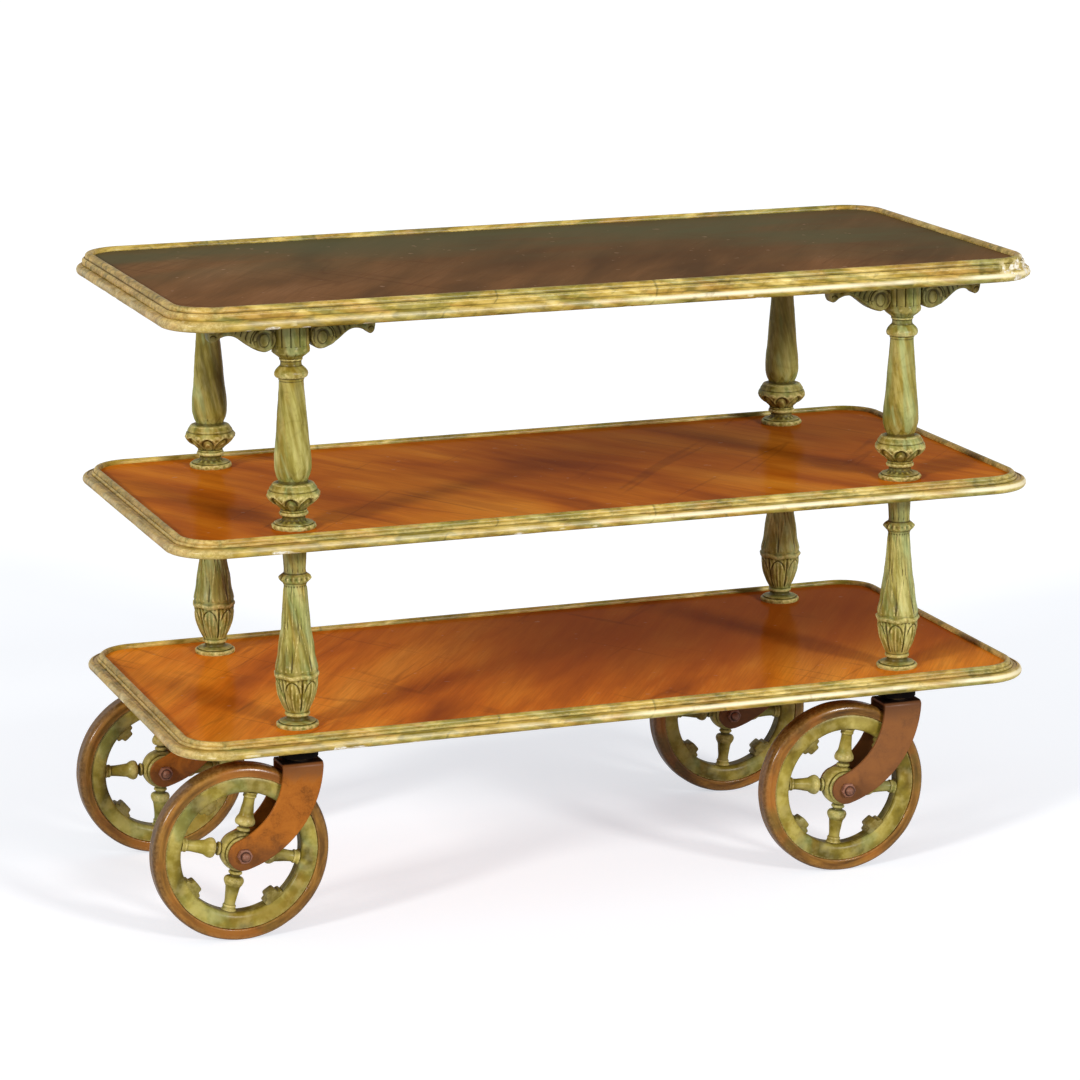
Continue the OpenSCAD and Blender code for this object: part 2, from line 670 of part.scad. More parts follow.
module felly(c) {
    color(WOOD_PAINT) at_axle(c) difference() {
        union() {
            rotate_extrude($fn = 96) polygon(felly_section());
            for (i = [0:spoke_n - 1]) {
                rotate([0, 0, 90 + (i + 0.5) * 360 / spoke_n]) felly_block();
            }
        }
        spoke_sockets(felly_ir - 2, spoke_foot_r + tenon_l + seat_c);
    }
}

// Stepped block standing inwards from the felly along +X
module felly_block() {
    translate([felly_ir - block_h / 2, -block_w / 2, -10]) cube([block_h / 2 + 4, block_w, 20]);
    translate([felly_ir - block_h, -block_w * 0.3, -8]) cube([block_h + 4, block_w * 0.6, 16]);
}

// Half section of the tyre, with a shallow line on each face
function tyre_section() = let(h = wheel_t / 2, ri = felly_or, ro = wheel_r, e = 5) concat(
    [[ri, -h], [ri + 5, -h], [ri + 6, -h + 0.8], [ri + 7, -h]],
    arc(ro - e, -h + e, e, e, -90, 0, 6),
    arc(ro - e, h - e, e, e, 0, 90, 6),
    [[ri + 7, h], [ri + 6, h - 0.8], [ri + 5, h], [ri, h]]);

module tyre(c) {
    color(TYRE_BROWN) at_axle(c) rotate_extrude($fn = 120) polygon(tyre_section());
}

top_rim();
top_board();
middle_rim();
middle_board();
bottom_rim();
bottom_board();
plate_screws();
for (c = CORNERS) {
    upper_column(c);
    scroll_bracket(c);
    lower_column(c);
    mounting_plate(c);
    kingpin(c);
    swivel_washer(c);
    fork(c);
    axle(c);
    hub(c);
    hub_bush(c);
    spokes(c);
    felly(c);
    tyre(c);
}
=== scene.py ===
from itertools import product
from math import acos, asin, cos, degrees, pi, radians, sin, sqrt

import bmesh
import bpy
import numpy as np
from mathutils import Matrix, Vector


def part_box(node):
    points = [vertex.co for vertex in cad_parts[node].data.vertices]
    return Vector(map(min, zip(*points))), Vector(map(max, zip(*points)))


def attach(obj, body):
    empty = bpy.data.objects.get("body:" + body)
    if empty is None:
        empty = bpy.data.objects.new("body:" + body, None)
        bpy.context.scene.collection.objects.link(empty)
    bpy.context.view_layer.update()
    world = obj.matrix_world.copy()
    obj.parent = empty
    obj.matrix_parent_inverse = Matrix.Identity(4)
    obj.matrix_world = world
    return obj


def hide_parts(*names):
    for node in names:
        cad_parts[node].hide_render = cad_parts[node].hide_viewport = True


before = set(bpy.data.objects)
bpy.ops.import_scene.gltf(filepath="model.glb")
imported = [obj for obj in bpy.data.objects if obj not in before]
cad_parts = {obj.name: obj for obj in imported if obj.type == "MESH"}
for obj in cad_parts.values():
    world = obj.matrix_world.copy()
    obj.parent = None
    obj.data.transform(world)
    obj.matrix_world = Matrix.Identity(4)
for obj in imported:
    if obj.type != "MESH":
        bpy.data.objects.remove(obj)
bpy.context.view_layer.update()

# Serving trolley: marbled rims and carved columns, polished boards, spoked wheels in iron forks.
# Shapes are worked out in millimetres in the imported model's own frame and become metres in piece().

MM = 0.001
CORNERS = ("front_left", "front_right", "rear_left", "rear_right")
# Degrees from upright to the first spoke of each wheel
WHEEL_TURNS = dict(zip(CORNERS, (12, 7, 3, 5)))


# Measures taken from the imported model

def box_mm(node):
    low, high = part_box(node)
    return np.array(low) / MM, np.array(high) / MM


def middle_mm(node):
    low, high = box_mm(node)
    return (low + high) / 2


# Number helpers

def ease(value, low, high):
    """0 below low, 1 above high and a smooth rise between them"""
    t = np.clip((value - low) / (high - low), 0, 1)
    return t * t * (3 - 2 * t)


def near(value, centre, reach):
    """1 at the centre, falling smoothly to 0 at reach from it"""
    return 1 - ease(np.abs(value - centre), 0, reach)


def from_nearest(angle, count, first=0):
    """Degrees from the nearest of count directions spread evenly from the first one"""
    pitch = 360 / count
    return np.abs((angle - first + pitch / 2) % pitch - pitch / 2)


def lattice(cell, seed):
    """A fixed random number from 0 to 1 for each whole-numbered cell"""
    mixed = (cell * np.array([374761393, 668265263, 1103515245])).sum(axis=-1) + seed * 974711
    mixed = (mixed ^ (mixed >> 13)) * 1274126177 & 0xFFFFFFFF
    return ((mixed ^ (mixed >> 16)) & 0xFFFF) / 65535


def noise(points, size, seed=0):
    """Smooth noise from -1 to 1 with bumps about size across"""
    scaled = np.asarray(points) / size
    cell = np.floor(scaled).astype(np.int64)
    part = scaled - cell
    part = part * part * (3 - 2 * part)
    total = 0
    for corner in product((0, 1), repeat=3):
        share = np.where(corner, part, 1 - part).prod(axis=-1)
        total = total + share * lattice(cell + corner, seed)
    return total * 2 - 1


def smooth_line(points, step):
    """Points about a step apart along a smooth curve through the given ones"""
    line = np.array(points, float)
    if len(line) > 2:
        ends = np.vstack([2 * line[0] - line[1], line, 2 * line[-1] - line[-2]])
        t = np.linspace(0, 1, 10)[:-1, None]
        spans = [0.5 * (2 * b + (c - a) * t + (2 * a - 5 * b + 4 * c - d) * t**2
                        + (3 * b - a - 3 * c + d) * t**3)
                 for a, b, c, d in zip(ends, ends[1:], ends[2:], ends[3:])]
        line = np.vstack(spans + [line[-1:]])
    far = np.concatenate([[0], np.cumsum(np.linalg.norm(np.diff(line, axis=0), axis=1))])
    at = np.linspace(0, far[-1], max(2, int(far[-1] / step) + 1))
    return np.stack([np.interp(at, far, line[:, k]) for k in range(line.shape[1])], axis=-1)


def outline(runs, step):
    """Smooth runs joined end to end, with a crease where one run meets the next"""
    line = np.vstack([smooth_line(run, step) for run in runs])
    apart = np.linalg.norm(np.diff(line, axis=0), axis=1) > 0.05
    return line[np.concatenate([[True], apart])]


def arc(centre, radii, start, stop, count):
    """Points along an elliptical arc, from one angle in degrees to another"""
    turn = np.radians(np.linspace(start, stop, count))
    across, up = centre[0] + radii[0] * np.cos(turn), centre[1] + radii[1] * np.sin(turn)
    return np.stack([across, up], axis=-1)


# Mesh helpers

class Shape:
    """The points, faces and marks of one piece, gathered loft by loft"""

    def __init__(self):
        self.points, self.faces, self.count = [], [], 0
        self.chips, self.aged, self.flows = [], [], []

    # A loft's mark of ends and painted shade: the short ends of a rim and, on other pieces, where
    # painted shade darkens them
    def loft(self, rings, closed=False, chip=0.0, aged=0.0, flow=None):
        """A skin over rings of points, with flat ends unless it is closed"""
        rows, around = rings.shape[:2]
        grid = self.count + np.arange(rows * around).reshape(rows, around)
        ahead = np.roll(grid, -1, axis=0)
        quads = np.stack([grid, np.roll(grid, -1, axis=1), np.roll(ahead, -1, axis=1), ahead], axis=-1)
        self.faces += quads[:rows if closed else rows - 1].reshape(-1, 4).tolist()
        if not closed:
            self.faces += [grid[0].tolist(), grid[-1].tolist()]
        self.points.append(rings.reshape(-1, 3))
        self.flows.append((rings if flow is None else flow).reshape(-1, 3))
        self.chips.append(np.broadcast_to(chip, (rows, around)).ravel())
        self.aged.append(np.broadcast_to(aged, (rows, around)).ravel())
        self.count += rows * around


def swept_flow(rings, across, up):
    """Where a swept piece's points lie: along the sweep in two numbers, then round its section"""
    middles = rings.mean(axis=1, keepdims=True)[..., [across, up, up]]
    flow = np.repeat(middles, rings.shape[1], axis=1)
    gaps = np.linalg.norm(np.diff(rings[0], axis=0), axis=1)
    flow[..., 2] = np.concatenate([[0], np.cumsum(gaps)])
    return flow


def standing_out(mesh, rounds=9):
    """How far each point stands out of its smoothed surroundings, in millimetres"""
    count = len(mesh.vertices)
    points, normals = np.empty(count * 3), np.empty(count * 3)
    edges = np.empty(len(mesh.edges) * 2, dtype=np.int32)
    mesh.vertices.foreach_get("co", points)
    mesh.edges.foreach_get("vertices", edges)
    mesh.vertex_normals.foreach_get("vector", normals)
    points = points.reshape(-1, 3)
    a, b = edges.reshape(-1, 2).T
    ends, others = np.concatenate([a, b]), np.concatenate([b, a])
    share = np.bincount(ends, minlength=count)[:, None]
    soft = points
    for _ in range(rounds):
        soft = np.stack([np.bincount(ends, soft[others, k], count) for k in range(3)], axis=-1) / share
    return ((points - soft) * normals.reshape(-1, 3)).sum(axis=1) / MM


def mark(mesh, name, values):
    """Keep one number for each point of a mesh, for its material to read"""
    made = mesh.attributes.new(name, "FLOAT", "POINT")
    made.data.foreach_set("value", np.asarray(values, dtype=np.float32))


def put(name, data):
    """A new object in the scene"""
    made = bpy.data.objects.new(name, data)
    bpy.context.scene.collection.objects.link(made)
    return made


def piece(name, body, shape, material, slot, *replaced, sharp=42):
    """Make a shape into an object that rides on a body in place of some nodes"""
    mesh = bpy.data.meshes.new(name)
    mesh.from_pydata(np.vstack(shape.points) * MM, [], shape.faces)
    work = bmesh.new()
    work.from_mesh(mesh)
    bmesh.ops.recalc_face_normals(work, faces=work.faces)
    work.to_mesh(mesh)
    work.free()
    mesh.shade_smooth()
    mesh.set_sharp_from_angle(angle=radians(sharp))
    mark(mesh, "relief", standing_out(mesh))
    mark(mesh, "chip", np.concatenate(shape.chips))
    mark(mesh, "aged", np.concatenate(shape.aged))
    flow = np.vstack(shape.flows).astype(np.float32) * MM
    mesh.attributes.new("flow", "FLOAT_VECTOR", "POINT").data.foreach_set("vector", flow.ravel())
    mesh.materials.append(material)
    made = put(name, mesh)
    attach(made, body)
    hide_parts(*replaced)


# Materials

def screen_colour(tone):
    """The colour that looks on a screen like a tone of red, green and blue from 0 to 255"""
    shares = [part / 255 for part in tone]
    return tuple(v / 12.92 if v < 0.04045 else ((v + 0.055) / 1.055) ** 2.4 for v in shares) + (1.0,)


class Finish:
    """A material with short calls that add nodes to it"""

    def __init__(self, name):
        self.material = bpy.data.materials.new(name)
        self.material.use_nodes = True
        self.tree = self.material.node_tree
        self.shader = self.tree.nodes["Principled BSDF"]
        self.here = self.node("TexCoord").outputs["Object"]
        self.flow = self.node("Attribute", attribute_name="flow").outputs["Vector"]
        self.colour = None

    def feed(self, socket, value):
        """Link a socket to another one, or set it to a plain value or a tone"""
        if isinstance(value, bpy.types.NodeSocket):
            self.tree.links.new(value, socket)
        else:
            socket.default_value = screen_colour(value) if socket.type == "RGBA" else value

    def node(self, kind, inputs=None, **settings):
        made = self.tree.nodes.new("ShaderNode" + kind)
        for name, value in settings.items():
            setattr(made, name, value)
        for name, value in (inputs or {}).items():
            self.feed(made.inputs[name], value)
        return made

    def place(self, scale=(1, 1, 1), turn=(0, 0, 0), start=None):
        """A place on the object in metres, turned in degrees and then stretched"""
        start = start or self.here
        turned = self.node("Mapping", {"Vector": start, "Rotation": [radians(a) for a in turn]})
        return self.node("Mapping", {"Vector": turned.outputs[0], "Scale": scale}).outputs[0]

    def axes(self, where):
        """The X, Y and Z of a place"""
        return self.node("SeparateXYZ", {"Vector": where}).outputs

    def marked(self, name):
        """The number that the mesh keeps under a name"""
        return self.node("Attribute", attribute_name=name).outputs["Fac"]

    def cloud(self, where, scale, detail=4.0, rough=0.55, twist=0.0):
        """Noise from 0 to 1 that is mostly near 0.5"""
        return self.node("TexNoise", {"Vector": where, "Scale": scale, "Detail": detail,
                                      "Roughness": rough, "Distortion": twist}).outputs["Fac"]

    def rise(self, value, low, high, start=0.0, stop=1.0):
        """From start to stop, smoothly, as the value goes from low to high"""
        return self.node("MapRange", {"Value": value, "From Min": low, "From Max": high,
                                      "To Min": start, "To Max": stop},
                         interpolation_type="SMOOTHSTEP").outputs[0]

    def math(self, operation, a, b=0.0):
        made = self.node("Math", operation=operation)
        self.feed(made.inputs[0], a)
        self.feed(made.inputs[1], b)
        return made.outputs[0]

    def times(self, a, b):
        return self.math("MULTIPLY", a, b)

    def plus(self, a, b):
        return self.math("ADD", a, b)

    def apart(self, a, b):
        """How far two numbers are apart"""
        return self.math("ABSOLUTE", self.math("SUBTRACT", a, b))

    def veins(self, where, scale, width, twist):
        """1 along thin wandering lines"""
        level = self.cloud(where, scale, 2.0, 0.45, twist)
        return self.rise(self.apart(level, 0.5), 0.0, width, 1.0, 0.0)

    def ramp(self, value, *stops):
        """A colour from its stops, each a value and the tone there"""
        made = self.node("ValToRGB", {"Fac": value})
        band = made.color_ramp
        while len(band.elements) < len(stops):
            band.elements.new(0.5)
        for element, (at, tone) in zip(band.elements, stops):
            element.position = at
            element.color = screen_colour(tone)
        return made.outputs["Color"]

    def mix(self, share, a, b):
        """Colour a with a share of colour b over it"""
        made = self.node("Mix", data_type="RGBA")
        for index, value in ((0, share), (6, a), (7, b)):
            self.feed(made.inputs[index], value)
        return made.outputs[2]

    def lay(self, share, colour):
        """Lay a share of a colour or tone over the finish so far"""
        self.colour = self.mix(share, self.colour, colour)

    def cover(self, tone, value, low, high, most=1.0):
        """Lay a tone over it, up to a share of most, as the value goes from low to high"""
        self.lay(self.rise(value, low, high, 0.0, most), tone)

    def finish(self, roughness, bumps, specular=0.0, metallic=0.0, coat=0.0, coat_roughness=0.3):
        """Set the shader; each bump is a height and how far it stands out in millimetres"""
        values = {"Base Color": self.colour, "Roughness": roughness, "Specular IOR Level": specular,
                  "Metallic": metallic, "Coat Weight": coat, "Coat Roughness": coat_roughness}
        for name, value in values.items():
            self.feed(self.shader.inputs[name], value)
        normal = None
        for height, distance in bumps:
            bump = self.node("Bump", {"Height": height, "Distance": distance * MM, "Strength": 1.0})
            if normal:
                self.feed(bump.inputs["Normal"], normal)
            normal = bump.outputs["Normal"]
        self.feed(self.shader.inputs["Normal"], normal)
        return self.material


# Metres round a rim's section, from its first point to the middle of its rounded nose
NOSE_MIDDLE = 0.0425


def marble_ground(m, along, tones, patches, size):
    """Clouds of four tones with a few coloured patches"""
    dark, base, light, cream = tones
    clouds = m.cloud(along, 30 / size, 3.5, 0.55, 0.5)
    m.colour = m.ramp(clouds, (0.36, dark), (0.46, base), (0.55, light), (0.67, cream))
    for index, (tone, low, high, strength) in enumerate(patches):
        shift = (0.37 * (index + 1), 0.21, 0.13 * index)
        moved = m.node("VectorMath", {0: along, 1: shift}, operation="ADD").outputs[0]
        patchy = m.cloud(moved, 21 / size, 2.5, 0.55, 0.6)
        m.cover(tone, patchy, low, high, strength)


def rim_strokes(m):
    """Tan hatching on the short ends of a rim and leaning brush strokes all along it"""
    hatch = m.cloud(m.place((1.0, 6.0, 1.0), (0, 0, 62)), 90, 3.0, 0.6)
    tan = m.mix(m.rise(hatch, 0.42, 0.58), (132, 98, 44), (186, 144, 80))
    m.lay(m.times(m.marked("aged"), 0.60), tan)
    strokes = m.cloud(m.place((1.4, 1.4, 0.30), (24, -52, 0), m.flow), 95, 3.0, 0.55)
    m.cover((112, 92, 24), strokes, 0.46, 0.34, 0.42)
    m.cover((214, 186, 84), strokes, 0.54, 0.66, 0.30)


def painted_nose_highlight(m):
    """A painted highlight in pale cream along the nose of a rim, mostly towards the right"""
    on_nose = m.rise(m.apart(m.axes(m.flow)["Z"], NOSE_MIDDLE), 0.0045, 0.0012)
    to_right = m.rise(m.axes(m.here)["X"], -0.35, 0.25, 0.25, 0.85)
    uneven = m.rise(m.cloud(m.place((1, 1, 0.3), start=m.flow), 9, 2.0), 0.34, 0.56, 0.25, 1.0)
    m.lay(m.times(m.times(on_nose, to_right), uneven), (238, 226, 188))


def chipped(m, speckle):
    """Dirt and bare gesso; gives how far each place is chipped"""
    m.cover((232, 216, 164), m.marked("chip"), 0.12, 0.45, 0.70)
    m.cover((88, 72, 26), m.cloud(m.here, 70, 4.0, 0.65), 0.55, 0.74, 0.34)
    ragged = m.rise(speckle, 0.3, 0.7, -0.22, 0.22)
    chip = m.rise(m.plus(m.marked("chip"), ragged), 0.45, 0.62)
    gesso = m.ramp(m.cloud(m.here, 240, 3.0), (0.38, (196, 178, 140)), (0.6, (244, 238, 222)))
    m.lay(chip, gesso)
    return chip


def marbled(name, stretch, lean, tones, patches, size=1.0, rim=False, worn=0.60, veined=0.60, coat=0.25):
    """Old oil paint that imitates marble: clouds, patches, streaks, veins, grime, painted shade, rubbed
    edges with painted highlights, and bare gesso
    """
    m = Finish(name)
    along = m.place(stretch, lean, m.flow)
    marble_ground(m, along, tones, patches, size)
    painted_shade, relief = m.marked("aged"), m.marked("relief")
    if rim:
        rim_strokes(m)
    else:
        # Painted shade on brackets under the trays, on felly blocks, inside the felly and in the hub's
        # bore
        m.lay(m.times(painted_shade, 0.42), (62, 50, 14))
    streaks = m.cloud(m.place([v * 0.45 for v in stretch], lean, m.flow), 170 / size, 3.0, 0.6)
    m.cover(m.mix(0.6, m.colour, (236, 222, 160)), streaks, 0.40, 0.66, 0.22)
    m.cover((98, 82, 26), streaks, 0.58, 0.34, 0.30)
    across = m.place((1, 1, 0.6 if rim else 0.45), (24, -38, 0), m.flow)
    shown = m.rise(m.cloud(along, 12 / size, 2.0), 0.44, 0.58, 0.0, veined)
    m.lay(m.times(m.veins(across, 16 / size, 0.032, 0.5), shown), (78, 74, 24))
    # Dirt and painted shade in recesses
    m.cover((56, 44, 14), relief, -0.05, -0.40, 0.54 if rim else 0.76)
    speckle = m.cloud(m.here, 240, 3.0, 0.7)
    # Rubbed paint and painted highlights on raised edges
    rubbed_and_highlit = m.times(m.rise(relief, 0.18, 0.50), m.rise(speckle, 0.42, 0.60, worn * 0.25, worn))
    if not rim:
        rubbed_and_highlit = m.times(rubbed_and_highlit, m.rise(painted_shade, 0.0, 1.2, 1.0, 0.25))
    m.lay(rubbed_and_highlit, (226, 206, 136))
    # Rims get a painted highlight along their noses
    if rim:
        painted_nose_highlight(m)
    chip = chipped(m, speckle)
    roughness = m.plus(m.rise(m.cloud(m.here, 60, 4.0), 0.3, 0.7, 0.34, 0.52), m.times(chip, 0.3))
    bumps = ((streaks, 0.10), (speckle, 0.05), (m.times(chip, -1.0), 0.35))
    return m.finish(roughness, bumps, coat=coat)


def veneer(m, tones, slant, calm):
    """Clouded figure, feathers and grain that slant across a board; gives the grain"""
    tilt = (0, 0, slant)
    dark, _, _, gold = tones
    figure = m.cloud(m.place((0.9, 2.8, 1.0), tilt), 3.0, 3.0, 0.5, 0.3)
    stops = [0.5 + (stop - 0.5) * calm for stop in (0.34, 0.46, 0.56, 0.70)]
    m.colour = m.ramp(figure, *zip(stops, tones))
    feathers = m.cloud(m.place((0.9, 8.0, 1.0), tilt), 5.0, 4.0, 0.6, 0.2)
    m.cover(dark, feathers, 0.54, 0.34, 0.28)
    m.cover(gold, feathers, 0.54, 0.70, 0.20)
    grain = m.cloud(m.place((1.0, 30.0, 1.0), tilt), 13, 5.0, 0.7)
    m.cover(dark, grain, 0.60, 0.36, 0.22)
    return grain


def board_finish(name, tones, gloss, slant, back_shade_share, calm=1.0, painted_sheen=None):
    """Mahogany veneer under old polish, with painted shade towards the back right and a hazy painted
    sheen towards the back when a tone is given for it
    """
    m = Finish(name)
    dark = tones[0]
    grain = veneer(m, tones, slant, calm)
    shade = m.cloud(m.place((0.8, 1.8, 1.0), (0, 0, -9)), 2.6, 3.0, 0.5, 0.4)
    m.cover(dark, shade, 0.50, 0.68, 0.30 / calm)
    spot = m.axes(m.here)
    # Painted shade: the board darkens towards the back right
    painted_back_shade = m.times(m.rise(spot["X"], -0.45, 0.15), m.rise(spot["Y"], -0.24, -0.02, 0.0, back_shade_share))
    m.lay(painted_back_shade, dark)
    for crossing in (-50, 57):
        joints = m.veins(m.place((0.14, 2.0, 1.0), (0, 0, crossing)), 6.0, 0.013, 0.0)
        shown = m.rise(m.cloud(m.here, 5.0, 2.0), 0.42, 0.56, 0.0, 0.26)
        m.lay(m.times(joints, shown), (80, 40, 16))
    # A painted sheen, hazy and greyish, towards the back of the board
    if painted_sheen:
        streaky = m.rise(m.cloud(m.place((0.6, 1.6, 1.0)), 5.0, 4.0), 0.30, 0.62, 0.35, 1.0)
        back = m.plus(spot["Y"], m.rise(spot["X"], 0.05, 0.60, 0.0, 0.22))
        m.lay(m.times(m.rise(back, -0.10, 0.25, 0.12, 0.85), streaky), painted_sheen)
    m.cover((190, 150, 120), m.cloud(m.here, 70, 2.0, 0.4), 0.72, 0.78, 0.30)
    scratches = m.cloud(m.place((1.0, 30.0, 1.0), (0, 0, 8)), 30, 3.0)
    return m.finish(0.6, ((grain, 0.03), (scratches, 0.02)), coat=0.045, coat_roughness=gloss)


def tyre_finish():
    """Dark streaky wood that runs round the wheel, with worn polish and painted highlights on raised
    edges, and grime and painted shade on the tread and in recesses
    """
    m = Finish("tyre_wood")
    relief = m.marked("relief")
    fibre = m.cloud(m.place((0.14, 0.14, 1.0), start=m.flow), 110, 4.0, 0.6, 0.3)
    m.colour = m.ramp(fibre, (0.32, (68, 44, 14)), (0.46, (105, 70, 22)), (0.58, (130, 90, 32)),
                      (0.74, (158, 112, 46)))
    patch = m.cloud(m.place((1.0, 1.0, 0.4), start=m.flow), 13, 3.0, 0.5)
    m.cover((96, 80, 28), patch, 0.46, 0.66, 0.6)
    warm = m.cloud(m.place((1.0, 1.0, 0.3), (0, 40, 0), m.flow), 15, 2.0, 0.5)
    m.cover((158, 92, 30), warm, 0.50, 0.66, 0.5)
    # Grime and painted shade on the tread
    m.lay(m.times(m.marked("aged"), 0.72), (56, 36, 12))
    # Dirt and painted shade in recesses
    m.cover((44, 26, 10), relief, -0.03, -0.30, 0.55)
    fine = m.cloud(m.here, 210, 4.0, 0.7)
    # Worn polish and painted highlights on raised edges
    worn = m.times(m.rise(relief, 0.16, 0.44), m.rise(fine, 0.40, 0.62, 0.05, 0.2))
    m.lay(worn, (196, 150, 86))
    roughness = m.rise(fine, 0.3, 0.7, 0.26, 0.40)
    return m.finish(roughness, ((fibre, 0.04), (fine, 0.02)), coat=0.40, coat_roughness=0.20)


def fork_painted_shade(m, rust):
    """Duller on the forks to the right; painted shade darker at the axle and towards the crown, and
    nearly black on top under the tray
    """
    spot = m.axes(m.here)
    m.cover((106, 75, 52), spot["X"], -0.1, 0.3, 0.62)
    height = m.plus(spot["Z"], m.times(m.math("SUBTRACT", rust, 0.5), 0.05))
    # Painted shade: darker low at the axle and high towards the crown, nearly black on the top face
    m.cover((92, 58, 34), height, 0.150, 0.104, 0.74)
    m.cover((98, 66, 46), height, 0.208, 0.232, 0.60)
    m.cover((26, 18, 14), spot["Z"], 0.2358, 0.2375)


def iron_finish(name, tones, roughness, metallic=0.0, specular=0.35, coat=0.0, fork=False):
    """Flat iron under thin brown paint and rust"""
    m = Finish(name)
    relief = m.marked("relief")
    rust = m.cloud(m.here, 38, 5.0, 0.62, 0.5)
    dark, base, light = tones
    m.colour = m.ramp(rust, (0.32, dark), (0.48, base), (0.66, light))
    fine = m.cloud(m.here, 330, 4.0, 0.75)
    m.cover(dark, fine, 0.52, 0.70, 0.25)
    # Worn paint and painted highlights on raised edges
    m.lay(m.times(m.rise(relief, 0.10, 0.5), m.rise(fine, 0.4, 0.6, 0.2, 0.6)), light)
    # Dirt and painted shade in recesses
    m.cover(dark, relief, -0.03, -0.3, 0.7)
    if fork:
        fork_painted_shade(m, rust)
    shine = m.rise(fine, 0.3, 0.7, roughness, roughness + 0.15)
    return m.finish(shine, ((rust, 0.12), (fine, 0.05)), specular, metallic, coat)


# Four tones from dark to light for each paint and board
RIM_TONES = ((114, 96, 30), (160, 132, 46), (188, 157, 66), (220, 196, 114))
COLUMN_TONES = ((104, 94, 32), (138, 126, 52), (156, 146, 70), (184, 176, 106))
WHEEL_TONES = ((80, 70, 20), (120, 105, 34), (140, 124, 46), (172, 156, 78))
TOP_TONES = ((88, 58, 32), (114, 76, 42), (126, 84, 48), (142, 98, 62))
MIDDLE_TONES = ((140, 66, 16), (190, 100, 20), (212, 122, 28), (232, 148, 46))
BOTTOM_TONES = ((140, 66, 16), (208, 114, 26), (230, 140, 38), (246, 170, 64))
# Coloured patches: the tone, the noise where it begins and is full, and its greatest share
RIM_PATCHES = (((112, 112, 36), 0.52, 0.58, 0.62), ((190, 136, 64), 0.54, 0.62, 0.40),
               ((142, 148, 84), 0.57, 0.63, 0.40))
COLUMN_PATCHES = (((104, 124, 64), 0.50, 0.60, 0.55), ((144, 116, 32), 0.52, 0.61, 0.56),
                  ((158, 172, 116), 0.55, 0.65, 0.55))
WHEEL_PATCHES = (((116, 126, 70), 0.50, 0.62, 0.55), ((132, 104, 32), 0.53, 0.65, 0.50),
                 ((170, 154, 66), 0.54, 0.64, 0.52))

rim_paint = marbled("rim_paint", (0.34, 0.34, 1.7), (8, -14, 0), RIM_TONES, RIM_PATCHES,
                    rim=True, worn=0.42, coat=0.34)
column_paint = marbled("column_paint", (1.0, 1.0, 0.14), (6, 11, 0), COLUMN_TONES, COLUMN_PATCHES,
                       size=0.6, veined=0.14)
wheel_paint = marbled("wheel_paint", (0.62, 0.62, 0.62), (0, 0, 0), WHEEL_TONES, WHEEL_PATCHES,
                      worn=0.34, veined=0.1)
top_wood = board_finish("top_wood", TOP_TONES, 0.25, -57, 0.55, painted_sheen=(86, 84, 56))
middle_wood = board_finish("middle_wood", MIDDLE_TONES, 0.15, 61, 0.50, calm=1.2)
bottom_wood = board_finish("bottom_wood", BOTTOM_TONES, 0.15, -57, 0.82, calm=1.6)
tyre_wood = tyre_finish()
fork_iron = iron_finish("fork_iron", ((92, 50, 18), (142, 80, 26), (164, 98, 34)), 0.42,
                        specular=0.0, coat=0.16, fork=True)
bolt_iron = iron_finish("bolt_iron", ((48, 26, 18), (84, 50, 34), (156, 108, 86)), 0.34, specular=0.2)
# Painted shade: plates, kingpins and screws under the trays are near-black to stand for the shadow there
dark_iron = iron_finish("dark_iron", ((8, 6, 5), (14, 11, 9), (24, 18, 14)), 0.6,
                        specular=0.0, coat=0.05)
bronze = iron_finish("old_bronze", ((30, 22, 12), (62, 46, 24), (104, 78, 42)), 0.40, metallic=0.8)


# Rims

# Radius of their corners
RIM_CORNER = 71


def rim_section(high, nose, step, bead, groove):
    """Section of a rim: distance in from the edge, height above the underside"""
    rim, ledge, over = 24, 12, 6
    bead_z, step_u = high - over + 0.6, rim - bead - step
    step_z = bead_z - groove - step
    runs = [[(rim + ledge, 0), (nose + 2, 0)],
            arc((nose, nose), (nose, nose), 270, 90, 12),
            [(nose, nose * 2), (nose + 0.4, nose * 2 - 0.7), (step_u, nose * 2 - 0.4)],
            [(step_u, nose * 2 - 0.4), (step_u, step_z)],
            arc((step_u + step * 0.8, step_z), (step * 0.8, step), 180, 90, 7),
            [(step_u + step * 0.9, step_z + step - 0.6), (rim - bead, bead_z - groove - 0.4)],
            arc((rim - bead / 2, bead_z), (bead / 2, high - bead_z), 180, 0, 10),
            [(rim, bead_z), (rim, 4)],
            [(rim, 4), (rim + ledge, 4)],
            [(rim + ledge, 4), (rim + ledge, 0.3)]]
    return outline(runs, 0.75)


def rim_path(half_x, half_y, step):
    """Centres of the corner turns and the outward direction, all the way round"""
    centres, turns = [], []
    signs = ((1, 1), (-1, 1), (-1, -1), (1, -1))
    reach = np.array([half_x - RIM_CORNER, half_y - RIM_CORNER])
    for k in range(4):
        here, after = (np.array(signs[(k + j) % 4]) * reach for j in (0, 1))
        bend = np.linspace(k * 90, k * 90 + 90, 34)[:-1]
        count = int(np.linalg.norm(after - here) / step)
        straight = here + (after - here) * np.linspace(0, 1, count)[:-1, None]
        centres += [np.tile(here, (len(bend), 1)), straight]
        turns += [bend, np.full(count - 1, k * 90 + 90.0)]
    return np.vstack(centres), np.radians(np.concatenate(turns))


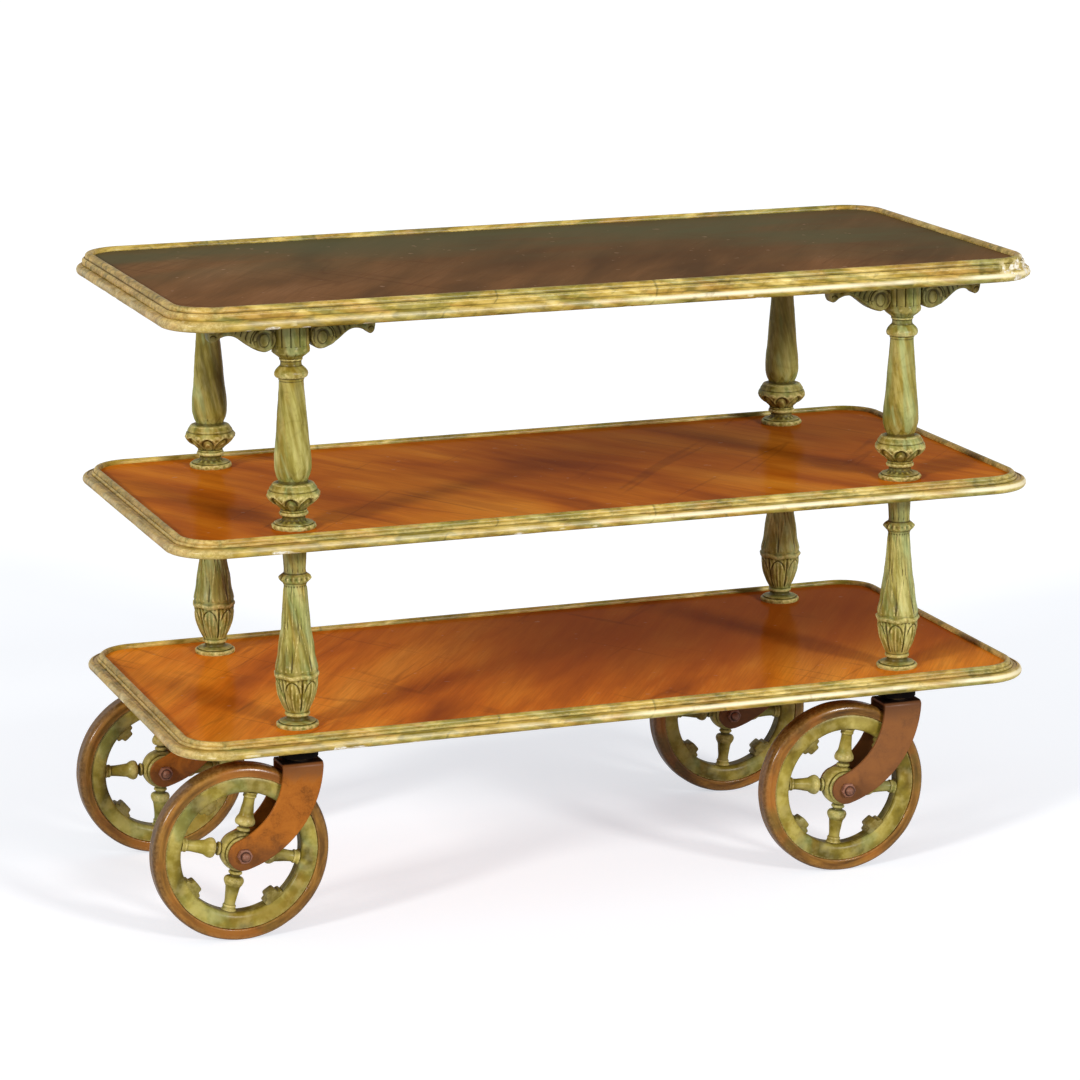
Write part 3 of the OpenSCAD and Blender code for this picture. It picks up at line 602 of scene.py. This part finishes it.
def rim_wear(points, section, seed, broken):
    """How far wear moves a rim's points out, and where it is chipped"""
    outer = ease(section[:, 0], 16, 3)[None]
    lower = outer * ease(section[:, 1], 7, 1)[None]
    worn = 0.22 * noise(points, 46, seed) + 0.10 * noise(points, 11, seed + 1)
    chipping = noise(points * (0.45, 0.45, 1), 7, seed + 2) + 0.5 * noise(points, 90, seed + 3)
    chip = ease(chipping, 0.60 - 0.20 * lower, 0.80) * (0.25 * outer + 0.75 * lower)
    push = worn * outer - 0.7 * chip
    if broken is not None:
        close = ease(np.linalg.norm(points - broken, axis=2), 80, 26)
        rough = noise(points, 6.5, seed + 4) + 0.35 * noise(points, 2.6, seed + 5)
        crumble = close * ease(rough, -0.25, 0.45)
        chip = np.maximum(chip, crumble * ease(section[:, 0], 20, 8)[None])
        push = push - 2.6 * crumble * outer - 0.8 * close * np.abs(noise(points, 3.2, seed + 6))
    return push, chip


def rim(name, seed, broken=None, **profile):
    """Sweep a rim's section round its tray, with worn edges and chips"""
    low, high = box_mm(name)
    middle = (low + high) / 2
    section = rim_section(high[2] - low[2], **profile)
    centres, turns = rim_path(middle[0] - low[0], middle[1] - low[1], 3.5)
    out = np.stack([np.cos(turns), np.sin(turns)], axis=-1)[:, None]
    flat = middle[:2] + centres[:, None] + out * (RIM_CORNER - section[None, :, :1])
    points = np.dstack([flat, np.broadcast_to(low[2] + section[:, 1], flat.shape[:2])])
    push, chip = rim_wear(points, section, seed, broken)
    points[..., :2] += out * push[..., None]
    short_end = ease(np.abs(np.cos(turns)), 0.55, 0.85)[:, None]
    shape = Shape()
    shape.loft(points, closed=True, chip=chip, aged=short_end, flow=swept_flow(points, 0, 1))
    piece(name + "_moulding", "cart", shape, rim_paint, "painted_rim", name)


def rims():
    """The top rim, broken at its right front corner, and two shallower ones"""
    low, high = box_mm("top_rim")
    broken = np.array([high[0] - 14, low[1] + 24, low[2] + 8])
    rim("top_rim", 11, broken, nose=7.5, step=4, bead=12, groove=2)
    for name, seed in (("middle_rim", 23), ("bottom_rim", 37)):
        rim(name, seed, nose=6.5, step=3, bead=8.5, groove=0.5)


# Columns

def turned(shape, centre, line, carve, seed, around=192):
    """Turn an outline of radius and height about an upright axis and carve it"""
    angle = np.arange(around)[None] * 360 / around
    radius, height = line[:, :1] + 0 * angle, line[:, 1:] + 0 * angle
    out, up = carve(radius, height, angle)
    turn = np.radians(angle)
    points = np.dstack([radius * np.cos(turn), radius * np.sin(turn), height]) + centre
    radius = radius + out + 0.22 * noise(points, 8, seed) + 0.10 * noise(points, 2.8, seed + 1)
    points = np.dstack([radius * np.cos(turn), radius * np.sin(turn), height + up]) + centre
    shape.loft(points)


def disc_rings(centre, rows, count):
    """Level rings of points, from a radius and a height for each"""
    turn = np.linspace(0, 2 * pi, count, endpoint=False)
    return np.array([[(centre[0] + r * cos(t), centre[1] + r * sin(t), z) for t in turn]
                     for r, z in rows])


def pin(shape, centre, low, high, radius=10, soft=0.8):
    """A plain turned pin with softened ends"""
    rows = ((radius - soft, low), (radius, low + soft), (radius, high - soft), (radius - soft, high))
    shape.loft(disc_rings(centre, rows, 48))


def waves(count, angle, shift=0):
    """Even waves round a turning, from -1 to 1"""
    return np.cos(np.radians(count * angle + shift))


# Column outlines: radius and height above the board below, with a crease between runs
UPPER_TOP = 276
UPPER_RUNS = (
    ((27.8, 0), (28.8, 1.2), (29.1, 3), (28.8, 4.8), (27.6, 6)),
    ((27.6, 6), (25.5, 6.3)), ((25.5, 6.3), (25.5, 7.6)),
    ((25.5, 7.8), (19.5, 8.6), (16.2, 10.6), (15.2, 13), (15.2, 16.5)),
    ((16.5, 16.8), (18.6, 18), (19.2, 19.6), (18.6, 21.4), (16.8, 22.6)),
    ((17.4, 23), (18.7, 25.6), (22.5, 29.4), (27.8, 34), (31.6, 38.2), (33.8, 42), (34.2, 45),
     (33.4, 48.6), (31.9, 51)),
    ((31.9, 51), (30.4, 54.5), (26.8, 59.5)), ((26.8, 59.5), (24, 60.4), (20.4, 60.6)),
    ((20.4, 60.8), (21, 65), (22.9, 72), (24.5, 81), (24.1, 98), (21.9, 119), (19.7, 150),
     (17.8, 172), (16, 195)),
    ((16, 195), (16.9, 196.2)), ((16.9, 196.2), (16.9, 198.4)),
    ((17.2, 198.6), (20.6, 199.8), (22.3, 202.6), (22.4, 205.2), (21.0, 208.2), (18.0, 211.4),
     (14.9, 214.2)),
    ((14.5, 214.6), (13.8, 217.2), (13.9, 221)),
    ((14.4, 221.4), (15.3, 222.2), (15.4, 223.4), (14.8, 224.4)),
    ((15.2, 224.6), (16.4, 226), (19, 228.4), (23.4, 231.8), (24.4, 233.4)),
    ((24.4, 233.4), (24.6, 236), (24.6, UPPER_TOP)))


def carve_upper(radius, z, angle):
    """Arched niches and leaf tips on the bulb, reeds on the shaft, flutes on the capital"""
    wide = np.radians(from_nearest(angle, 8, 22.5)) * radius
    round_top = np.sqrt(np.clip(1 - (np.clip(z - 34.5, 0, None) / 9.6) ** 2, 0, 1))
    arch = 10.6 * round_top * ease(z, 14, 34) ** 0.5
    inside = ease(arch - wide, -0.6, 1.6) * ease(z, 23.6, 25.5) * ease(z, 45.5, 43.5)
    tongue = ease(1 - (wide / 6.0) ** 2 - ((z - 30) / 9.5) ** 2, 0, 0.8)
    out = -inside * (3.3 - 2.0 * tongue)
    out += 0.9 * near(arch - wide, -1.4, 1.9) * ease(z, 27, 32) * ease(z, 46, 43)
    tip = from_nearest(angle, 8)
    out += 2.2 * near(tip, 0, 12) * near(z, 45.0, 5.0) - 0.5 * near(tip, 0, 3) * near(z, 38, 9)
    out -= 0.6 * near(z, 51.2, 1.3) + 0.4 * near(z, 55.6, 1.0)
    out += waves(14, angle) * (0.7 * near(z, 3, 3.4) + 0.8 * near(z, 9.5, 3.5))
    out -= ease(z, 60.8, 63) * ease(z, 194, 184) * 0.15 * (1 - waves(8, angle))
    foot = 62 + 7 * (tip / 22.5) ** 2
    out -= 1.2 * ease(z, 60.9, 61.5) * (1 - ease(z, foot, foot + 6))
    out -= 1.1 * (1 - waves(6, angle)) / 2 * near(z, 205, 9)
    stave = from_nearest(angle, 12) / 15
    out -= 2.9 * (1 - np.sqrt(1 - 0.97 * stave**3.2)) * ease(z, 236 + 3 * stave, 240 + 3 * stave)
    out += 1.0 * near(stave, 0, 0.9) * near(z, 236.5, 4.5)
    out -= 0.5 * near(z, 241.5, 1.3) * (1 - stave)
    leaf = from_nearest(angle, 12, 15) / 15
    out += 0.9 * (1 - leaf**2) * near(z, 229.5, 5) - 0.8 * near(leaf, 1, 0.35) * near(z, 230, 6)
    return out, 0 * out


LOWER_RUNS = (
    ((27.2, 0), (27.9, 1.2), (28, 2.8), (27.9, 4.4), (27, 5.5)),
    ((27, 5.5), (24, 5.8)), ((24, 5.8), (24, 7.4)),
    ((24, 7.6), (18.5, 8.2), (15, 9.8), (14, 12), (14.2, 14.4)),
    ((14.8, 14.6), (16.3, 15.6), (16.7, 17.4), (16.2, 19.4), (15.4, 20.4)),
    ((15.8, 20.8), (17.8, 25), (21.7, 33), (25.8, 44), (27.6, 53), (28.2, 60), (28.2, 66.5)),
    ((28.2, 67.2), (29.2, 68.6), (29.9, 70.8), (29.6, 72.6), (28.2, 74.4)),
    ((28.0, 74.8), (27.4, 82), (24.3, 96), (22.7, 113), (20.1, 130), (19, 147), (17, 173),
     (15.6, 192)),
    ((15.6, 192), (16, 194)),
    ((16, 194), (20, 197.6), (22, 200.4), (20.6, 203), (16, 206.4)),
    ((15, 207), (14.5, 212), (14.9, 220), (15.5, 232), (15.6, 251)),
    ((15.6, 251), (10.2, 251)), ((10.2, 251), (10.2, 228.8)))


def carve_lower(radius, z, angle):
    """Petals and lip on the bowl, long leaves up the shaft, a pointed crown"""
    petal, gap = from_nearest(angle, 6), from_nearest(angle, 6, 30)
    bowl = ease(z, 21, 26) * ease(z, 68.5, 66)
    out = -2.3 * near(gap, 0, 6) * bowl * ease(z, 66, 58) - 0.9 * bowl * (petal / 30) ** 2
    dip = 27 * np.sqrt(np.clip(1 - ((z - 40) / 25) ** 2, 0, 1)) * ease(z, 22, 40)
    out -= 1.7 * near(dip - petal, 2.0, 5) * ease(z, 36, 46) * ease(z, 68, 66)
    out += 0.7 * near(petal, 0, 5) * bowl * ease(z, 64, 56)
    out -= 0.6 * (1 - waves(30, angle, 30 * np.sin(z / 5.0))) / 2 * bowl
    first = 30 * np.clip(1 - (z - 77) / 66, 0, 1) ** 0.75
    second = 30 * np.clip(1 - (z - 100) / 88, 0, 1) ** 0.6
    leaves = 0.9 * ease(first - gap, -1.5, 2.5) - 0.9 + 0.7 * ease(second - petal, -1.5, 2.5)
    leaves -= 0.9 * near(petal, 0, 5) * ease(z, 150, 120)
    leaves += 0.55 * (near(gap, 0, 3) * ease(z, 142, 120) + near(petal, 0, 3) * ease(z, 110, 140))
    leaves -= 0.40 * (1 - waves(24, angle, 60 * np.sin(np.radians(z * 5)))) / 2
    out += leaves * ease(z, 77, 79) * ease(z, 193, 190)
    out -= 3.4 * np.abs(np.sin(np.radians(8 * angle))) * near(z, 200.8, 5)
    out += 0.4 * waves(14, angle) * near(z, 3, 3.2)
    outside = radius > 12
    out -= 0.8 * near(from_nearest(angle, 12), 0, 8) * ease(z, 207, 212) * ease(z, 250, 240) * outside
    out += 0.9 * near(gap, 0, 7) * near(z, 71, 4.5) - 0.3 * near(z, 71, 4)
    up = -1.0 * waves(6, angle) * near(z, 71.5, 11)
    return out, up


def columns():
    """Turnings with their pins, which begin a little inside them"""
    inside = 2
    shelf, floor = box_mm("middle_board")[1][2], box_mm("bottom_board")[1][2]
    for index, corner in enumerate(CORNERS):
        for kind, foot, runs, carve, seed in (("upper", shelf, UPPER_RUNS, carve_upper, 100),
                                              ("lower", floor, LOWER_RUNS, carve_lower, 200)):
            name = kind + "_column_" + corner
            low, high = box_mm(name)
            centre = np.array([*middle_mm(name)[:2], foot])
            shape = Shape()
            turned(shape, centre, outline(runs, 0.95), carve, seed + 10 * index)
            pin(shape, centre, low[2], foot + inside)
            if kind == "upper":
                pin(shape, centre, foot + UPPER_TOP - inside, high[2])
            piece(name + "_carving", "cart", shape, column_paint, "painted_turning", name)


# Scroll brackets

# A wing's lower edge, half thickness and middles of its scrolls, from the column's axis
WING_EDGE = ((24.2, -30), (28, -37), (34, -40.6), (39, -41), (46, -39), (54, -35), (62, -29.5),
             (69, -24), (76, -19.5), (82, -17.4), (88.5, -17.5), (94, -19), (98.5, -21), (102, -24),
             (105.5, -25.5), (109, -24), (111.5, -20), (112, -14))
WING_HALF = ((24.2, 15), (48, 15), (80, 13), (104, 12), (110, 11.4), (112, 9.5))
VOLUTE = (39, -25)
CURL = (105.5, -19)


def wing_depth(x, z, edge):
    """How deep the carving goes into a wing's face"""
    x, edge = x + 0 * z, edge + 0 * z
    across, down = x - VOLUTE[0], z - VOLUTE[1]
    far = np.hypot(across, down)
    angle = np.degrees(np.arctan2(down, across)) % 360
    spiral = far - 4.2 * angle / 360
    oval = np.hypot(across * 1.18, down * 0.86)
    groove = 2.4 * ease(oval, 6.0, 7.6) * ease(spiral, 11.4, 9.4)
    eye = groove * (0.55 + 0.45 * near((angle - 130) % 360 - 180, -60, 120)) - 1.0 * ease(oval, 6.2, 1)
    band = 1.7 * near(spiral, 14.8, 1.7)
    lobes = 2.1 * (1 - np.abs(np.sin(pi * (far - 17.5) / 7.2)) ** 0.6) * ease(far, 16.5, 18)
    lobes *= ease(x, 90, 80)
    fillet = 1.6 * near(x, 28.2, 1.5)
    bead = 1.3 * near(z - edge, 4.2, 1.6) * ease(x, 50, 58)
    curl = np.hypot(x - CURL[0], z - CURL[1])
    tail = 1.3 * near(curl, 4.0, 1.5) * ease(x, 97, 99)
    hollow = 1.3 * ease(x, 82, 88) * ease(x, 100, 95) * ease(z - edge, 5, 8)
    return np.maximum.reduce([eye, band, np.where(far > 16, lobes, 0), fillet, bead, tail, hollow])


def wing(shape, centre, side, seed, curve=4.5):
    """One wing of a bracket: two carved faces that curve into its lower edge"""
    edge_line, half_line = smooth_line(WING_EDGE, 0.5), np.array(WING_HALF)
    x = np.linspace(WING_EDGE[0][0], WING_EDGE[-1][0], 118)
    edge = np.interp(x, edge_line[:, 0], edge_line[:, 1])[:, None]
    half = np.interp(x, half_line[:, 0], half_line[:, 1])[:, None]
    face_z = np.linspace(0, 1, 46)[None] * (edge + curve)
    face_y = half - wing_depth(x[:, None], face_z, edge)
    bend = np.radians(np.linspace(0, 90, 7))[1:][None]
    last = face_y[:, -1:]
    round_y, round_z = last - curve * (1 - np.cos(bend)), edge + curve * (1 - np.sin(bend))
    belly = np.linspace(1, 0, 5)[1:][None] * (last - curve)
    one_y = np.hstack([face_y, round_y, belly])
    one_z = np.hstack([face_z, round_z, edge + 0 * belly])
    y = np.hstack([one_y, -one_y[:, -2::-1]])
    z = np.hstack([one_z, one_z[:, -2::-1]])
    points = np.dstack([x[:, None] + 0 * y, y, z])
    points[..., 1] += np.sign(y) * 0.22 * noise(points, 5, seed) * ease(-z, 0.5, 3)
    points[..., 2] += 0.25 * noise(points, 9, seed + 1) * ease(-z, 1, 6)
    points[..., :2] *= side
    # The whole wing is marked for painted shade under the tray
    shape.loft(points + centre, aged=1.0)


def brackets():
    top = box_mm("top_rim")[0][2]
    for index, corner in enumerate(CORNERS):
        name = "scroll_bracket_" + corner
        centre = np.array([*middle_mm("upper_column_" + corner)[:2], top])
        shape = Shape()
        for side in (1, -1):
            wing(shape, centre, side, 300 + 10 * index + side)
        piece(name + "_carving", "cart", shape, column_paint, "painted_turning", name, sharp=50)


# Wheels

# Inner radius of a felly
FELLY_IN = 82


def wheel_points(centre, radius, angle, y):
    """Points from distance and direction round a wheel's middle and place along its axle"""
    turn = np.radians(angle)
    x, z = centre[0] + radius * np.cos(turn), centre[2] + radius * np.sin(turn)
    return np.stack(np.broadcast_arrays(x, centre[1] + y, z), axis=-1)


def hoop(shape, centre, section, seed, unevenness, dark, around=168):
    """Sweep a section round a wheel, with grime and painted shade that grow between the two radii of
    dark
    """
    angle = np.arange(around)[:, None] * 360 / around
    radius, along = section[None, :, 0], section[None, :, 1]
    points = wheel_points(centre, radius, angle, along)
    grow = unevenness * noise(points, 17, seed) + 0.08 * noise(points, 4, seed + 1)
    rings = wheel_points(centre, radius + grow, angle, along)
    shape.loft(rings, closed=True, aged=ease(radius, *dark), flow=swept_flow(rings, 0, 2))


def mirrored(half):
    """A closed section from its half at positive places along the axle"""
    half = np.array(half)
    return np.vstack([half, half[::-1] * (1, -1)])


def tyre_section(inner=104, outer=120, half=16):
    """Section of a tyre with a groove near its inner edge and a round tread"""
    tread = [(inner + 6.8, half), (outer - 7, half - 0.2), (outer - 3.4, half - 1.7),
             (outer - 1.1, half - 4.4), (outer, half - 8.5), (outer, 0)]
    runs = [[(inner, 0), (inner, half - 0.8)],
            [(inner + 0.5, half - 0.2), (inner + 1.3, half)],
            [(inner + 1.3, half), (inner + 5.2, half)],
            [(inner + 5.2, half), (inner + 6.0, half - 0.35), (inner + 6.8, half)], tread]
    return mirrored(outline(runs, 1.0)[1:-1])


def felly_section(inner=FELLY_IN, outer=103.8, half=15):
    """Section of a felly with rounded shoulders and a small step inside"""
    shoulders = [(outer - 0.4, half - 1.5), (outer - 4, half - 0.5), (outer - 9, half),
                 (inner + 8, half - 0.2), (inner + 4, half - 1.3), (inner + 1.4, half - 3.2),
                 (inner, half - 6)]
    runs = [[(outer, 0), (outer, half - 1.9)], shoulders,
            [(inner, half - 6), (inner + 0.7, half - 7.2), (inner, half - 8.4)],
            [(inner, half - 8.4), (inner, 0)]]
    return mirrored(outline(runs, 1.0)[1:-1])


# Half of a felly block: distance to the side and outwards from the felly's inner edge
BLOCK_STEPS = ((14, 4), (14, -3.2), (13.2, -4.6), (11.6, -5.3), (9.4, -5.6), (8.2, -6.6), (8, -8.8),
               (7.4, -10.8), (5.8, -11.8), (2.4, -12))
# Layers of a block: place along the axle and how much smaller its outline is there
BLOCK_LAYERS = ((-11.6, 1.6), (-11.1, 0.6), (-10.2, 0), (10.2, 0), (11.1, 0.6), (11.6, 1.6))
# Half of a hub's section and a spoke's outline: radius and place along the axis, with creases
HUB_RUNS = (((10, 18), (19.6, 18)), ((20.4, 17.8), (22, 17), (22.8, 15.4), (22.2, 13.6), (20.8, 12.6)),
            ((20.8, 12.6), (20.8, 11.8)), ((24.4, 11.4), (25.6, 9.6), (26.6, 6), (27, 0)))
SPOKE_RUNS = (((5, 18.4), (5, 27.3)), ((7.4, 27.4), (8.9, 28.3), (9.3, 29.6), (8.8, 31), (7.6, 31.9)),
              ((7, 32.2), (6.8, 33.4), (7.1, 34.6)),
              ((9.2, 35), (12, 36.4), (13.4, 39), (13.5, 41), (12.6, 44.4), (10.2, 48.6)),
              ((9.9, 49), (9.4, 52), (8.4, 60), (7.6, 68), (7.6, 73.4)),
              ((7.6, 73.4), (8.8, 74.2), (9.2, 75.6), (8.8, 76.8)),
              ((8.8, 76.8), (9.0, 78.2), (9.8, 80), (10.6, 81.3)), ((5, 81.3), (5, 90)))


def block(shape, centre, angle, seed):
    """A stepped block with softened edges that stands in from the felly between two spokes"""
    steps = np.array([(-x, z) for x, z in BLOCK_STEPS] + list(BLOCK_STEPS[::-1]))
    rings = []
    for y, shrink in BLOCK_LAYERS:
        side = steps[:, 0] - np.sign(steps[:, 0]) * shrink
        reach = FELLY_IN + steps[:, 1] + shrink * (steps[:, 1] < 0)
        turn = angle + np.degrees(np.arctan2(side, reach))
        rings.append(wheel_points(centre, np.hypot(side, reach), turn, y))
    rings = np.array(rings)
    # The whole block is marked for painted shade
    shape.loft(rings + 0.12 * noise(rings, 5, seed)[..., None], aged=1.2)


def spoke(shape, centre, angle, seed, around=56):
    """A turned spoke: collar, knob, taper and flared foot"""
    line = outline(SPOKE_RUNS, 0.8)
    turn = np.linspace(0, 2 * pi, around, endpoint=False)[None]
    axis = np.array([cos(radians(angle)), 0, sin(radians(angle))])
    aside = np.array([-axis[2], 0, axis[0]])
    middle = centre + line[:, 1][:, None, None] * axis

    def rings(radius):
        return (middle + (radius * np.cos(turn))[..., None] * aside
                + (radius * np.sin(turn))[..., None] * np.array([0, 1, 0]))

    radius = line[:, :1] + 0 * turn
    shape.loft(rings(radius + 0.2 * noise(rings(radius), 6, seed)))


def wheels():
    """Tyre, felly with its blocks, four spokes and a hub for each wheel"""
    hub_section = mirrored(outline(HUB_RUNS, 0.8))
    for index, corner in enumerate(CORNERS):
        centre, body = middle_mm("tyre_" + corner), "wheel_" + corner
        first, seed = 90 - WHEEL_TURNS[corner], 400 + 20 * index
        tyre, felly, spokes, hub = (Shape() for _ in range(4))
        # The last two numbers of each hoop give where painted shade grows: on the tyre's tread with
        # grime, inside the felly and in the hub's bore
        hoop(tyre, centre, tyre_section(), seed, 0.25, (115.5, 119.3))
        hoop(felly, centre, felly_section(), seed + 2, 0.2, (83.4, 82.2))
        for k in range(4):
            block(felly, centre, first + 45 + 90 * k, seed + 4 + k)
            spoke(spokes, centre, first + 90 * k, seed + 8 + k)
        hoop(hub, centre, hub_section, seed + 14, 0.2, (12, 10), around=96)
        piece("tyre_%s_ring" % corner, body, tyre, tyre_wood, "brown_tyre", "tyre_" + corner)
        for node, shape, kind in (("felly_", felly, "_ring"), ("spokes_", spokes, "_turning"),
                                  ("hub_", hub, "_turning")):
            piece(node + corner + kind, body, shape, wheel_paint, "painted_wheel", node + corner)


# Forks and axles

# Radius of an arm's curve, its distance from the wheel's middle plane and its bend to the crown
ARM_BEND, ARM_OUT, CROWN_BEND = 120, 21.5, 4.5
# Half of a fork's width at the axle and at the crown, and half the thickness of its iron
AXLE_HALF, CROWN_HALF, IRON_HALF = 21, 28, 2.5


def bar_ring(middle, wide, thick, half, edge=1.2):
    """Section of flat bar with softened edges"""
    edge = min(edge, half * 0.9)
    ring = []
    for k, (sw, st) in enumerate(((1, 1), (-1, 1), (-1, -1), (1, -1))):
        for turn in np.radians(k * 90 + np.linspace(0, 90, 4)):
            over_width = wide * (sw * (half - edge) + edge * cos(turn))
            ring.append(middle + over_width + thick * (st * (IRON_HALF - edge) + edge * sin(turn)))
    return ring


def arm_line(trail, low, top):
    """Middle, tilt in degrees and half width along an arm, from its tip to its top"""
    bend_z = low + sqrt(ARM_BEND**2 - (ARM_BEND - trail) ** 2)
    last = degrees(acos((ARM_BEND - trail) / ARM_BEND))
    first = degrees(asin((bend_z - top) / ARM_BEND))
    arm = []
    for a in np.linspace(last, first, 26):
        half = CROWN_HALF + (AXLE_HALF - CROWN_HALF) * a / last
        x, z = ARM_BEND * cos(radians(a)) - ARM_BEND, bend_z - ARM_BEND * sin(radians(a))
        arm.append((np.array([x, 0, z]), a, half))
    away = np.array([-sin(radians(last)), 0, -cos(radians(last))])
    tip = [(arm[0][0] + away * d, last, sqrt(max(AXLE_HALF**2 - d * d, 0.2)))
           for d in AXLE_HALF * np.sin(np.linspace(pi / 2, 0.12, 12))]
    return tip + arm


def fork(corner):
    """Flat iron bent over the wheel, each arm curving back to its rounded end at the axle"""
    pivot, axle = middle_mm("kingpin_" + corner), middle_mm("tyre_" + corner)
    seat_top = box_mm("fork_" + corner)[1][2]
    crown = seat_top - 1.7
    arm_top = crown - IRON_HALF - CROWN_BEND
    rings = []
    for middle, a, half in arm_line(pivot[0] - axle[0], axle[2], arm_top):
        wide = np.array([cos(radians(a)), 0, -sin(radians(a))])
        rings.append(bar_ring(middle - (0, ARM_OUT, 0), wide, np.array([0, 1, 0]), half))
    for a in np.radians((22, 45, 68, 90)):
        y, z = -ARM_OUT + CROWN_BEND - CROWN_BEND * cos(a), arm_top + CROWN_BEND * sin(a)
        thick = np.array([0, cos(a), -sin(a)])
        rings.append(bar_ring(np.array([0, y, z]), np.array([1, 0, 0]), thick, CROWN_HALF))
    place = np.array([pivot[0], pivot[1], 0])
    rings = np.array(rings)
    whole = np.vstack([rings, rings[::-1] * (1, -1, 1)]) + place
    shape = Shape()
    shape.loft(whole + 0.15 * noise(whole, 14, 7)[..., None] * (0, 1, 0))
    seat = ((18, crown - 1), (18, seat_top - 0.5), (17.5, seat_top))
    shape.loft(disc_rings(place, seat, 64))
    piece("fork_%s_bar" % corner, "caster_" + corner, shape, fork_iron, "rusty_iron", "fork_" + corner)


def axle(corner):
    """Axle bolt with a chamfered nut and a domed end outside each arm"""
    centre = middle_mm("tyre_" + corner)
    shape = Shape()
    turn = np.linspace(0, 2 * pi, 72, endpoint=False)
    hexagon = 9 / np.cos((turn % (pi / 3)) - pi / 6)
    nut = ((24.2, 9.4), (24.9, 10.3), (29.6, 10.4), (30.6, 9.2), (31.1, 8.2))
    dome = [(31.1, 6.2)] + [(31.1 + 5.8 * sin(t), 6.1 * cos(t)) for t in np.linspace(0.2, 1.5, 7)]
    rows = [(y, np.minimum(hexagon, r)) for y, r in nut] + dome
    for side in (-1, 1):
        shape.loft(np.array([wheel_points(centre, r, np.degrees(turn), side * y) for y, r in rows]))
    shape.loft(np.array([wheel_points(centre, 6, np.degrees(turn), y) for y in (-30, 30)]))
    piece("axle_%s_bolt" % corner, "caster_" + corner, shape, bolt_iron, "rusty_iron", "axle_" + corner,
          sharp=30)


# Nodes that keep their own shape

def dress_nodes():
    plain = {"top_board": top_wood, "middle_board": middle_wood, "bottom_board": bottom_wood,
             "plate_screws": dark_iron}
    for corner in CORNERS:
        plain.update({"mounting_plate_" + corner: dark_iron, "kingpin_" + corner: dark_iron,
                      "swivel_washer_" + corner: bronze, "hub_bush_" + corner: bronze})
    for name, material in plain.items():
        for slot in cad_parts[name].material_slots:
            slot.material = material


# Floor, light and camera

def seen(tree):
    """1 for rays that show the background to the eye, directly or in gloss and glass"""
    rays = tree.nodes.new("ShaderNodeLightPath").outputs
    total = rays["Is Camera Ray"]
    for ray in ("Is Glossy Ray", "Is Transmission Ray"):
        total = add(tree, "Math", total, rays[ray])
        total.node.operation = "MAXIMUM"
    return total


def emptied(owner):
    """The node tree of a material or world, with nothing in it"""
    owner.use_nodes = True
    owner.node_tree.nodes.clear()
    return owner.node_tree


def add(tree, kind, *sources, **values):
    """Add a node with sources for its first inputs and values for named ones"""
    made = tree.nodes.new("ShaderNode" + kind)
    for socket, source in zip(made.inputs, sources):
        tree.links.new(source, socket)
    for name, value in values.items():
        made.inputs[name].default_value = value
    return made.outputs[0] if made.outputs else None


def make_floor(reach=60):
    """A pale floor that lights the trolley softly and shows its shadow"""
    mesh = bpy.data.meshes.new("floor")
    corners = [(reach * x, reach * y, 0) for x, y in ((-1, -1), (1, -1), (1, 1), (-1, 1))]
    mesh.from_pydata(corners, [], [(0, 1, 2, 3)])
    floor = put("floor", mesh)
    material = bpy.data.materials.new("pale_floor")
    tree = emptied(material)
    bounce = add(tree, "BsdfDiffuse", Color=(0.78, 0.78, 0.79, 1))
    surface = add(tree, "BsdfDiffuse", Color=(0.58, 0.58, 0.57, 1))
    glow = add(tree, "Emission", Color=(0.54, 0.56, 0.60, 1))
    shown = add(tree, "AddShader", surface, glow)
    add(tree, "OutputMaterial", add(tree, "MixShader", seen(tree), bounce, shown))
    mesh.materials.append(material)


def make_world():
    """White to the eye and in reflections, and a soft fill for everything else"""
    world = bpy.data.worlds.new("studio")
    bpy.context.scene.world = world
    tree = emptied(world)
    fill = add(tree, "Background", Color=(0.98, 0.98, 1.0, 1), Strength=0.47)
    white = add(tree, "Background", Color=(1, 1, 1, 1), Strength=1.0)
    add(tree, "OutputWorld", add(tree, "MixShader", seen(tree), fill, white))


def make_lamp(name, toward, height, strength, spread):
    """A soft lamp far away: where its shadows fall and its height above the horizon, in degrees"""
    lamp = bpy.data.lights.new(name, "SUN")
    lamp.energy = strength
    lamp.angle = radians(spread)
    made = put(name, lamp)
    level = cos(radians(height))
    aim = Vector((cos(radians(toward)) * level, sin(radians(toward)) * level, -sin(radians(height))))
    made.rotation_mode = "QUATERNION"
    made.rotation_quaternion = aim.to_track_quat("-Z", "Y")


def make_camera():
    """The photograph's viewpoint, in radians, fitted to the trays, columns and wheels"""
    yaw, pitch, roll = 0.343465, 0.226041, -0.004627
    right = Vector((cos(yaw), -sin(yaw), 0))
    ahead = Vector((sin(yaw) * cos(pitch), cos(yaw) * cos(pitch), -sin(pitch)))
    up = right.cross(ahead)
    level_right, level_up = right * cos(roll) + up * sin(roll), up * cos(roll) - right * sin(roll)
    camera = put("camera", bpy.data.cameras.new("camera"))
    camera.data.sensor_width = 36
    camera.data.lens = 132.917
    turn = Matrix((level_right, level_up, -ahead)).transposed().to_4x4()
    camera.matrix_world = Matrix.Translation((-1.8215, -5.0764, 1.6947)) @ turn
    bpy.context.scene.camera = camera


make_camera()
make_world()
make_floor()
make_lamp("left_lamp", 30, 22, 1.9, 9)
make_lamp("right_lamp", 112, 21, 1.9, 9)
rims()
columns()
brackets()
wheels()
for caster in CORNERS:
    fork(caster)
    axle(caster)
dress_nodes()
bpy.context.scene.view_settings.view_transform = "Standard"
